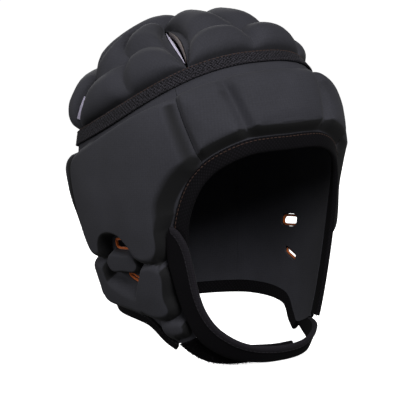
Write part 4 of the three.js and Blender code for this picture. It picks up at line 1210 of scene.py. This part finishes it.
# %% Straps
HOOK_STRAP = {
    "outer_turn": [-52.3, -54, -55, -54.9, -54, -52.7, -50, -44.9, -37.4, -27.5, -14, 0, 14, 30, 47, 61],
    "outer_depth": [132.2, 139, 147, 156, 166, 178, 193.6, 209, 218.6, 225.6, 229.6, 230.4, 229.6, 227, 223,
                    217.7],
    "inner_turn": [-51.2, -48.4, -45.6, -44, -43.1, -41.8, -39.2, -34.2, -28, -20, -10, 0, 10, 22, 35, 45.4],
    "inner_depth": [131.6, 135.4, 143, 153, 163, 178, 191.5, 203.3, 210.8, 216.5, 219.6, 220.4, 219.6, 216.5,
                    213.2, 211.9],
    "lift": [5.4, 5.4, 5.4, 5.4, 5.4, 5.4, 5.4, 5.4, 5, 4.4, 4, 4, 3.8, 2, 0.6, 0.2],
}
LOOP_STRAP = {
    "outer_turn": [-61, -54.4, -44.4, -32.6, -18, -4, 6],
    "outer_depth": [217.7, 223.6, 229.4, 231.8, 231.6, 231.2, 231],
    "inner_turn": [-45.4, -40.4, -34, -26, -14, -4, 6],
    "inner_depth": [211.9, 213.4, 215.8, 218, 219.6, 220.4, 220.4],
    "lift": [0.2] * 7,
}
HOOK_THICKNESS = 2.6
LOOP_THICKNESS = 2.8
STRAP_CAMBER = 0.35
STRAP_RINGS = {"hook": 260, "loop": 150}
STRAP_MIDDLE = (0.8, 0.65, 0.5, 0.35, 0.2)


def strap_edges(table, count):
    edges = []
    for label in ("outer", "inner"):
        rows = np.stack([table[label + "_turn"], table[label + "_depth"], table["lift"]], axis=1)
        turn, depth, lift = curve_through(rows).by_row(np.linspace(0, 1, count)).T
        low = lifted(wall_point, turn, depth, lift)
        edges.append((low, lifted(wall_point, turn, depth, lift + 1) - low))
    return edges


def strap_rings(edges, section):
    """Rings of a strap. A section row is the share across from the outer edge, mm more, and mm raised."""
    (outer, outer_up), (inner, inner_up) = edges
    width = np.linalg.norm(inner - outer, axis=1)[:, None, None]
    part, inset, raised = np.array(section, float).T[:, None, :, None]
    share = part + inset / np.maximum(width, 2 * np.abs(inset) + 0.01)
    base = blend(outer[:, None], inner[:, None], share)
    return base + blend(outer_up[:, None], inner_up[:, None], share) * raised


def cambered(thickness, shares):
    """Section rows over the middle of a strap, which is a little fuller than its edges."""
    return [(x, 0, thickness + STRAP_CAMBER * (1 - (2 * x - 1) ** 2)) for x in shares]


def strap_section(thickness):
    lower = [(0, 0.9, 0.05), (0.25, 0, 0), (0.5, 0, 0), (0.75, 0, 0), (1, -0.9, 0.05)]
    edge = [(1, -0.25, 0.45), (1, 0, thickness / 2), (1, -0.25, thickness - 0.45)]
    rounded = [(1, -0.9, thickness - 0.05)]
    upper = cambered(thickness, STRAP_MIDDLE)
    rolled = [(0, 0.9, thickness - 0.05), (0, 0.25, thickness - 0.45), (0, 0, thickness / 2)]
    rolled += [(0, 0.25, 0.45)]
    return lower + edge + rounded + upper + rolled


hook_edges = strap_edges(HOOK_STRAP, STRAP_RINGS["hook"])
loop_edges = strap_edges(LOOP_STRAP, STRAP_RINGS["loop"])
hook_strap = loft("hook_strap", strap_rings(hook_edges, strap_section(HOOK_THICKNESS)))
settle(hook_strap, "hook_strap", "strap_foam", JERSEY_ON_FOAM)
loop_strap = loft("loop_strap", strap_rings(loop_edges, strap_section(LOOP_THICKNESS)))
settle(loop_strap, "loop_strap", "loop_pile", LOOP_PILE)
middle_lines = [np.diff(outer[0] + inner[0], axis=0) / 2 for outer, inner in (hook_edges, loop_edges)]
strap_lengths = [np.linalg.norm(line, axis=1).sum() for line in middle_lines]
print("strap lengths mm: hook %.0f, loop %.0f" % tuple(strap_lengths))

# %% [markdown]
# The strap's inner edge is bound with a thin knit. It has no solid of its own in the frame, so it rides
# along as an extra piece: a section that wraps the edge, carried along the same two curves.

# %% Strap edging
EDGING_WIDTH = 4.4
EDGING_PROUD = 0.45
EDGING_CLEAR = 0.1


def strap_edging_section(thickness):
    """Thin knit folded over the strap's inner edge, standing a little proud of it."""
    top, proud = thickness + EDGING_CLEAR, EDGING_PROUD
    outside = [(-EDGING_WIDTH, top + proud / 2), (-EDGING_WIDTH + 0.5, top + proud), (-2, top + proud),
               (-0.5, top + proud / 2), (0.35, thickness * 0.75), (0.45, thickness / 2), (0.3, 0.3),
               (-0.5, -0.12), (-3.2, -0.12)]
    inside = [(-3.2, 0.1), (-0.9, 0.2), (-0.3, thickness / 2), (-0.9, top - 0.3), (-EDGING_WIDTH, top - 0.2)]
    return [(1, inset, raised) for inset, raised in outside + inside]


strap_edging = loft("strap_edging", strap_rings(hook_edges, strap_edging_section(HOOK_THICKNESS)))
settle(strap_edging, None, "woven_tape", STRAP_EDGING)

# %% [markdown]
# ## Slit linings
# The raw foam in a slit vent is hidden by a strip of lining cloth on each side. The lining slopes from the
# rim down into the slit, so that it shows as a thin stripe of colour. In the rear vents one strip stands up
# past the rim.

# %% Slit linings
LINING_END = 0.12
STANDING_START = 0.45
LINING_CLEAR = 0.4
LINING_REACH = 0.72
LINING_LEAST = 0.3
LINING_RINGS = 60
LINING_FOOT = [(1, 0, 1.3), (1, 0, 0.5), (0.8, 0, 0.3)]
LINING_SECTION = [(0, 0.4, 2.4), (0, 0.4, 3.3), (0.25, 0.4, 3.5), (0.6, 0.4, 3.0)] + LINING_FOOT
STANDING_SECTION = [(0, 0.4, 2.4), (0, -0.9, 3.6), (0, -1.2, 8.3), (0, -0.8, 8.5), (0, -0.2, 5.5),
                    (0.25, 0.4, 3.5)] + LINING_FOOT


def slit_lining(name, slit, side, way, section, start=LINING_END):
    """Strip of lining. A section row is the share of the way in, mm in from the rim, and the lift."""
    inside = np.linspace(start, 1 - LINING_END, LINING_RINGS)
    part = blend(slit["opens"], slit["closes"], inside)
    rim = petal_edge(slit, side, way)(part)
    middle = slit_line(slit, side, part)
    half = DOME_MM_PER_DEGREE * np.linalg.norm(rim - middle, axis=1)
    deep = np.maximum(half * LINING_REACH, LINING_CLEAR + LINING_LEAST)
    rings = []
    for share, clear, lift in section:
        inset = blend(clear, deep, share)
        place = blend(rim, middle, (inset / half)[:, None])
        rings.append(lifted(dome_point, place[:, 0], place[:, 1], np.full(len(place), lift)))
    return loft(name, np.stack(rings, axis=1))


def join(name, pieces):
    """One mesh from several, each keeping its own material."""
    work = bmesh.new()
    materials = []
    for piece in pieces:
        before = len(work.faces)
        work.from_mesh(piece.data)
        work.faces.ensure_lookup_table()
        for face in work.faces[before:]:
            face.material_index = len(materials)
        materials.append(piece.data.materials[0])
        bpy.data.objects.remove(piece)
    mesh = bpy.data.meshes.new(name)
    work.to_mesh(mesh)
    work.free()
    for material in materials:
        mesh.materials.append(material)
    return add_object(name, mesh)


for label, side in SIDES.items():
    for place, slit in (("front", FRONT_SLIT), ("rear", REAR_SLIT)):
        node = "vent_lining_%s_%s" % (place, label)
        strips = []
        for way in (1, -1):
            stands = way == side and place == "rear"
            if stands:
                strip = slit_lining(node, slit, side, way, STANDING_SECTION, STANDING_START)
            else:
                strip = slit_lining(node, slit, side, way, LINING_SECTION)
            # The strip on the front petal's side of a front slit is brown-grey, its darkness partly painted
            # shade.
            shaded_strip = way == -side and place == "front"
            strip.data.materials.append(BROWN_WITH_PAINTED_SHADE if shaded_strip else PALE_LINING)
            strips.append(strip)
        lining = join(node + "_look", strips)
        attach(lining, "root")
        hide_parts(node)
        print(lining.name, len(lining.data.vertices), "points")

# %% [markdown]
# ## Ear port edgings
# The ear ports have an orange cord inside. A cord is just a path with a thickness, so a small Geometry Nodes
# tree makes it: a circle carried along the port's outline. The same helpers serve the stitches and the pile.

# %% Ear port edgings
EDGING_INSET = 1.2
EDGING_RADIUS = 0.95
EDGING_LIFT = 2.2
CORD_SIDES = 10
CORD_POINTS = 96


def path_object(name, points, outward, closed):
    """A bare line of points for a node tree to work on, with the outward direction at each point."""
    count = len(points)
    ends = [(i, (i + 1) % count) for i in range(count if closed else count - 1)]
    mesh = bpy.data.meshes.new(name)
    mesh.from_pydata(points * MM, ends, [])
    mesh.attributes.new("outward", "FLOAT_VECTOR", "POINT").data.foreach_set(
        "vector", np.asarray(outward, np.float32).ravel())
    return add_object(name, mesh)


def new_tree(name, inputs):
    tree = bpy.data.node_groups.new(name, "GeometryNodeTree")
    tree.interface.new_socket("Geometry", in_out="INPUT", socket_type="NodeSocketGeometry")
    for label, kind, value in inputs:
        socket = tree.interface.new_socket(label, in_out="INPUT", socket_type="NodeSocket" + kind)
        socket.default_value = value
    tree.interface.new_socket("Geometry", in_out="OUTPUT", socket_type="NodeSocketGeometry")
    return tree, add_node(tree, "NodeGroupInput").outputs, add_node(tree, "NodeGroupOutput")


def finish_tree(tree, geometry, material, out):
    real = add_node(tree, "GeometryNodeRealizeInstances", {"Geometry": geometry}).outputs["Geometry"]
    dressed = add_node(tree, "GeometryNodeSetMaterial", {"Geometry": real, "Material": material})
    tree.links.new(dressed.outputs["Geometry"], out.inputs["Geometry"])


def grown(base, tree, name, values):
    """Runs a node tree on a base object and keeps only the mesh that it makes."""
    modifier = base.modifiers.new("grow", "NODES")
    modifier.node_group = tree
    for socket in tree.interface.items_tree:
        if socket.in_out == "INPUT" and socket.name in values:
            modifier[socket.identifier] = values[socket.name]
    evaluated = base.evaluated_get(bpy.context.evaluated_depsgraph_get())
    mesh = bpy.data.meshes.new_from_object(evaluated)
    base.modifiers.remove(modifier)
    mesh.name = name
    return add_object(name, mesh)


cord_tree, cord_in, cord_out = new_tree("cord_along_path", [("Radius", "Float", 0.001)])
cord_line = add_node(cord_tree, "GeometryNodeMeshToCurve", {"Mesh": cord_in["Geometry"]}).outputs["Curve"]
cord_round = add_node(cord_tree, "GeometryNodeCurvePrimitiveCircle", {
    "Resolution": CORD_SIDES, "Radius": cord_in["Radius"]})
cord_tube = add_node(cord_tree, "GeometryNodeCurveToMesh", {
    "Curve": cord_line, "Profile Curve": cord_round.outputs["Curve"], "Fill Caps": True}).outputs["Mesh"]
finish_tree(cord_tree, cord_tube, ORANGE_CORD, cord_out)

round_port = np.linspace(0, 2 * np.pi, CORD_POINTS + 1)[:-1]
circle = (np.cos(round_port), np.sin(round_port))
reach, climb = (np.sign(wave) * np.abs(wave) ** (2 / PORT_POWER) for wave in circle)
for port_name, port in EAR_PORTS.items():
    along = (port["half_length"] - EDGING_INSET) * reach
    down = (port["half_height"] - EDGING_INSET) * climb - port["drop"] * along
    for label, side in SIDES.items():
        turn = side * (port["turn"] + along / MM_PER_DEGREE)
        points = lifted(wall_point, turn, port["depth"] + down, np.full(len(turn), EDGING_LIFT))
        node = "ear_edging_%s_%s" % (port_name, label)
        line = path_object("port_line", points, np.zeros_like(points), closed=True)
        cord = grown(line, cord_tree, node, {"Radius": EDGING_RADIUS * MM})
        bpy.data.objects.remove(line)
        settle(cord, node, "edging_cord", ORANGE_CORD)

# %% [markdown]
# ## Rows of stitches
# A sewing machine leaves a row of short threads at one pitch, a few millimetres in from each tape's edge. A
# Geometry Nodes tree does the same: it steps along a line at the pitch and sets one flat bead of thread on
# each step, turned along the line and standing on the cloth.

# %% Stitch rows
STITCH_PITCH = 3.2
STITCH_LENGTH = 2.5
STITCH_WIDTH = 0.55
BEAD_FACES = 80
TAPE_SEAM = {"across": 4.5, "sunk": 0.1}
BINDING_SEAM = {"across": 0.5, "lift": 4.42}
STRAP_SEAM_INSET = 0.8
STRAP_SEAM_ROWS = slice(14, -6)

stitch_tree, stitch_in, stitch_out = new_tree("stitches_along_path", [
    ("Pitch", "Float", 0.003), ("Length", "Float", 0.002), ("Width", "Float", 0.0005),
    ("Thread", "Material", None)])
stitch_line = add_node(stitch_tree, "GeometryNodeMeshToCurve", {
    "Mesh": stitch_in["Geometry"]}).outputs["Curve"]
stitch_steps = add_node(stitch_tree, "GeometryNodeResampleCurve", {
    "Curve": stitch_line, "Length": stitch_in["Pitch"]}, mode="LENGTH").outputs["Curve"]
along_line = add_node(stitch_tree, "GeometryNodeInputTangent").outputs["Tangent"]
off_cloth = add_node(stitch_tree, "GeometryNodeInputNamedAttribute", {
    "Name": "outward"}, data_type="FLOAT_VECTOR")
stitch_turn = add_node(stitch_tree, "FunctionNodeAxesToRotation", {
    "Primary Axis": along_line, "Secondary Axis": off_cloth.outputs["Attribute"]}, primary_axis="X",
    secondary_axis="Z").outputs["Rotation"]
half_length, half_width = (add_node(stitch_tree, "ShaderNodeMath", {
    0: stitch_in[size], 1: 0.5}, operation="MULTIPLY").outputs[0] for size in ("Length", "Width"))
stitch_scale = add_node(stitch_tree, "ShaderNodeCombineXYZ", {
    "X": half_length, "Y": half_width, "Z": half_width})
bead = add_node(stitch_tree, "GeometryNodeMeshIcoSphere", {"Radius": 1.0, "Subdivisions": 2}).outputs["Mesh"]
smooth_bead = add_node(stitch_tree, "GeometryNodeSetShadeSmooth", {"Geometry": bead}).outputs["Geometry"]
sewn = add_node(stitch_tree, "GeometryNodeInstanceOnPoints", {
    "Points": stitch_steps, "Instance": smooth_bead, "Rotation": stitch_turn,
    "Scale": stitch_scale.outputs["Vector"]}).outputs["Instances"]
finish_tree(stitch_tree, sewn, stitch_in["Thread"], stitch_out)


def sew(name, points, outward, thread, slot, closed=False):
    line = path_object(name + "_line", points, outward, closed)
    row = grown(line, stitch_tree, name, {
        "Pitch": STITCH_PITCH * MM, "Length": STITCH_LENGTH * MM, "Width": STITCH_WIDTH * MM,
        "Thread": thread})
    bpy.data.objects.remove(line)
    settle(row, None, slot, thread)
    print(name, len(row.data.polygons) // BEAD_FACES, "stitches")


def line_on(places, sideways_mm, lift, closed=False):
    point, outward, sideways = frame_along(places, closed)
    return point + sideways * sideways_mm + outward * lift, outward


tape_top = tape_low + TAPE_THICKNESS - TAPE_SEAM["sunk"]
for label, way, thread in (("upper", 1, COPPER_THREAD), ("lower", -1, DARK_THREAD)):
    seam = line_on(tape_path, way * TAPE_SEAM["across"], tape_top, closed=True)
    sew("tape_stitches_" + label, *seam, thread, "woven_tape", closed=True)
for node, thread in (("face_binding", COPPER_THREAD), ("nape_binding", DARK_THREAD)):
    seam = line_on(paths[node], BINDING_SEAM["across"], BINDING_SEAM["lift"])
    sew(node + "_stitches", *seam, thread, "woven_tape")
strap_row = (1, -EDGING_WIDTH + STRAP_SEAM_INSET, HOOK_THICKNESS + EDGING_CLEAR + EDGING_PROUD)
strap_seam = strap_rings(hook_edges, [strap_row])[STRAP_SEAM_ROWS, 0]
strap_up = hook_edges[1][1][STRAP_SEAM_ROWS]
sew("strap_stitches", strap_seam, strap_up, DARK_THREAD, "strap_foam")

# %% [markdown]
# ## Loop pile
# The hooks of one strap catch in thousands of tiny loops on the other. Each loop is one bent thread. The
# tree scatters points on the strap's outer face, with a fixed seed, and stands a loop on each, turned and
# tilted at random.

# %% Loop pile
PILE_PER_MM2 = 2.4
LOOP_SPAN = 0.7
LOOP_HEIGHT = 1.1
LOOP_ROOT = 0.2
LOOP_THREAD = 0.09
LOOP_LEAN = {"low": (-0.6, -0.6, 0), "high": (0.6, 0.6, 6.3)}
PILE_SEED = 7
PILE_SHARES = np.linspace(0.03, 0.97, 9)

pile_tree, pile_in, pile_out = new_tree("loop_pile", [("Density", "Float", 1.0), ("Seed", "Int", 0)])
scatter = add_node(pile_tree, "GeometryNodeDistributePointsOnFaces", {
    "Mesh": pile_in["Geometry"], "Density": pile_in["Density"], "Seed": pile_in["Seed"]},
    distribute_method="RANDOM")
bent = add_node(pile_tree, "GeometryNodeCurveQuadraticBezier", {
    "Resolution": 5, "Middle": (0, 0, 2 * LOOP_HEIGHT * MM),
    "Start": (-LOOP_SPAN / 2 * MM, 0, -LOOP_ROOT * MM),
    "End": (LOOP_SPAN / 2 * MM, 0, -LOOP_ROOT * MM)}).outputs["Curve"]
thread_round = add_node(pile_tree, "GeometryNodeCurvePrimitiveCircle", {
    "Resolution": 3, "Radius": LOOP_THREAD * MM})
one_loop = add_node(pile_tree, "GeometryNodeCurveToMesh", {
    "Curve": bent, "Profile Curve": thread_round.outputs["Curve"]}).outputs["Mesh"]
lean = add_node(pile_tree, "FunctionNodeRandomValue", {
    0: LOOP_LEAN["low"], 1: LOOP_LEAN["high"], "Seed": pile_in["Seed"]}, data_type="FLOAT_VECTOR").outputs[0]
leaning = add_node(pile_tree, "FunctionNodeEulerToRotation", {"Euler": lean}).outputs["Rotation"]
loop_turn = add_node(pile_tree, "FunctionNodeRotateRotation", {
    "Rotation": scatter.outputs["Rotation"], "Rotate By": leaning},
    rotation_space="LOCAL").outputs["Rotation"]
pile = add_node(pile_tree, "GeometryNodeInstanceOnPoints", {
    "Points": scatter.outputs["Points"], "Instance": one_loop, "Rotation": loop_turn}).outputs["Instances"]
finish_tree(pile_tree, pile, LOOP_PILE, pile_out)

pile_points = strap_rings(loop_edges, cambered(LOOP_THICKNESS, PILE_SHARES))
pile_quads = grid_quads(*pile_points.shape[:2])[:, ::-1]
pile_mesh = bpy.data.meshes.new("pile_ground")
pile_mesh.from_pydata(pile_points.reshape(-1, 3) * MM, [], pile_quads.tolist())
pile_ground = add_object("pile_ground", pile_mesh)
pile_values = {"Density": PILE_PER_MM2 / MM**2, "Seed": PILE_SEED}
tufts = grown(pile_ground, pile_tree, "loop_pile_tufts", pile_values)
bpy.data.objects.remove(pile_ground)
settle(tufts, None, "loop_pile", LOOP_PILE)

# %% [markdown]
# ## A pale floor
# The floor is a wide white sheet that curves up into a wall all round, as in a photo studio, so that no
# horizon shows from any side. It shines a little by itself and sends no light back up, since the walls that
# look down have to stay dark.

# %% The floor
COVE = {"reach": [0, 2, 4, 5, 5.6, 6, 6], "rise": [0, 0, 0, 0.15, 0.5, 1.2, 5]}
COVE_SIDES = 64
FLOOR_CLEAR = 0.5
PAPER_GLOW = 0.9

bpy.context.view_layer.update()
low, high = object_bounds()
around = np.linspace(0, 2 * np.pi, COVE_SIDES + 1)[:-1]
cove_rings = []
for reach, climb in zip(COVE["reach"], COVE["rise"]):
    level = np.full(COVE_SIDES, low.z - FLOOR_CLEAR * MM + climb)
    cove_rings.append(np.stack([reach * np.cos(around), reach * np.sin(around), level], axis=1))
cove_mesh = bpy.data.meshes.new("floor")
cove_faces = []
for ring in range(len(cove_rings) - 1):
    for k in range(COVE_SIDES):
        m = (k + 1) % COVE_SIDES
        a, b = ring * COVE_SIDES, (ring + 1) * COVE_SIDES
        cove_faces.append((a + k, b + k, b + m, a + m))
cove_mesh.from_pydata(np.concatenate(cove_rings), [], cove_faces)
cove_mesh.shade_smooth()
floor = add_object("floor", cove_mesh)
floor.visible_diffuse = False
floor.visible_glossy = False
floor.visible_shadow = False
paper = bpy.data.materials.new("white_paper")
paper.use_nodes = True
sheet = paper.node_tree.nodes["Principled BSDF"].inputs
for label, value in (("Base Color", colour("#f2f2f2")), ("Roughness", 0.9), ("Specular IOR Level", 0.0),
                     ("Emission Color", colour("#ffffff")), ("Emission Strength", PAPER_GLOW)):
    sheet[label].default_value = value
cove_mesh.materials.append(paper)
print("floor at %.1f mm" % (low.z / MM - FLOOR_CLEAR))

# %% [markdown]
# ## Soft lights and the camera
# The key light stands in front of the wearer, a little to the right and above. Two weaker lights stand
# behind, right and left, a faint one hangs overhead, and the sky adds a little from all round. Broad round
# lights keep the shadows soft. The camera has a long lens and stands far away, a little above the middle. It
# is rolled a few degrees, because the headgear leans in the photo.

# %% Lights and camera
SKY_STRENGTH = 0.12
LIGHTS = {
    "key": {"place": (-0.5, -1.4, 0.8), "size": 0.9, "power": 33},
    "behind_right": {"place": (-1.3, 0.8, 0.3), "size": 0.8, "power": 8},
    "overhead": {"place": (0.0, -0.3, 1.4), "size": 0.9, "power": 2},
    "behind_left": {"place": (0.9, 1.5, 0.7), "size": 1.0, "power": 14},
}
CAMERA_YAW = -36
CAMERA_ELEVATION = 5
CAMERA_ROLL = 4
CAMERA_DISTANCE = 1700
CAMERA_LENS = 203.75
CAMERA_TARGET = np.array([0, 0, -129])
CAMERA_SENSOR = 36
CAMERA_REACH = 100

world = bpy.data.worlds.new("studio")
bpy.context.scene.world = world
world.use_nodes = True
sky = world.node_tree.nodes["Background"]
sky.inputs["Color"].default_value = colour("#ffffff")
sky.inputs["Strength"].default_value = SKY_STRENGTH

centre = (low + high) / 2
for name, light in LIGHTS.items():
    data = bpy.data.lights.new(name, "AREA")
    data.shape = "DISK"
    data.size = light["size"]
    data.energy = light["power"]
    lamp = add_object(name, data)
    lamp.location = light["place"]
    lamp.rotation_mode = "QUATERNION"
    lamp.rotation_quaternion = (Vector(centre) - Vector(light["place"])).to_track_quat("-Z", "Y")

yaw, climb, roll = np.radians([CAMERA_YAW, CAMERA_ELEVATION, CAMERA_ROLL])
back = np.array([np.sin(yaw) * np.cos(climb), -np.cos(yaw) * np.cos(climb), np.sin(climb)])
right = np.array([np.cos(yaw), np.sin(yaw), 0])
up = np.cross(back, right)
rolled_right = right * np.cos(roll) - up * np.sin(roll)
rolled_up = up * np.cos(roll) + right * np.sin(roll)
camera_data = bpy.data.cameras.new("camera")
camera_data.lens = CAMERA_LENS
camera_data.sensor_width = CAMERA_SENSOR
camera_data.clip_end = CAMERA_REACH
camera = add_object("camera", camera_data)
place = (CAMERA_TARGET + back * CAMERA_DISTANCE) * MM
axes = np.column_stack([rolled_right, rolled_up, back, place])
camera.matrix_world = Matrix(axes.tolist() + [[0, 0, 0, 1]])
bpy.context.scene.camera = camera
bpy.context.scene.view_settings.view_transform = "Standard"
print("lights:", len(LIGHTS), "camera at mm:", [round(x / MM) for x in place])

# %% [markdown]
# ## The size at the end
# The modelled pieces swell a little past the plain solids. We print the box round the modelled pieces.

# %% Finish
print("visual box mm:", [round(x / MM, 1) for x in high - low])
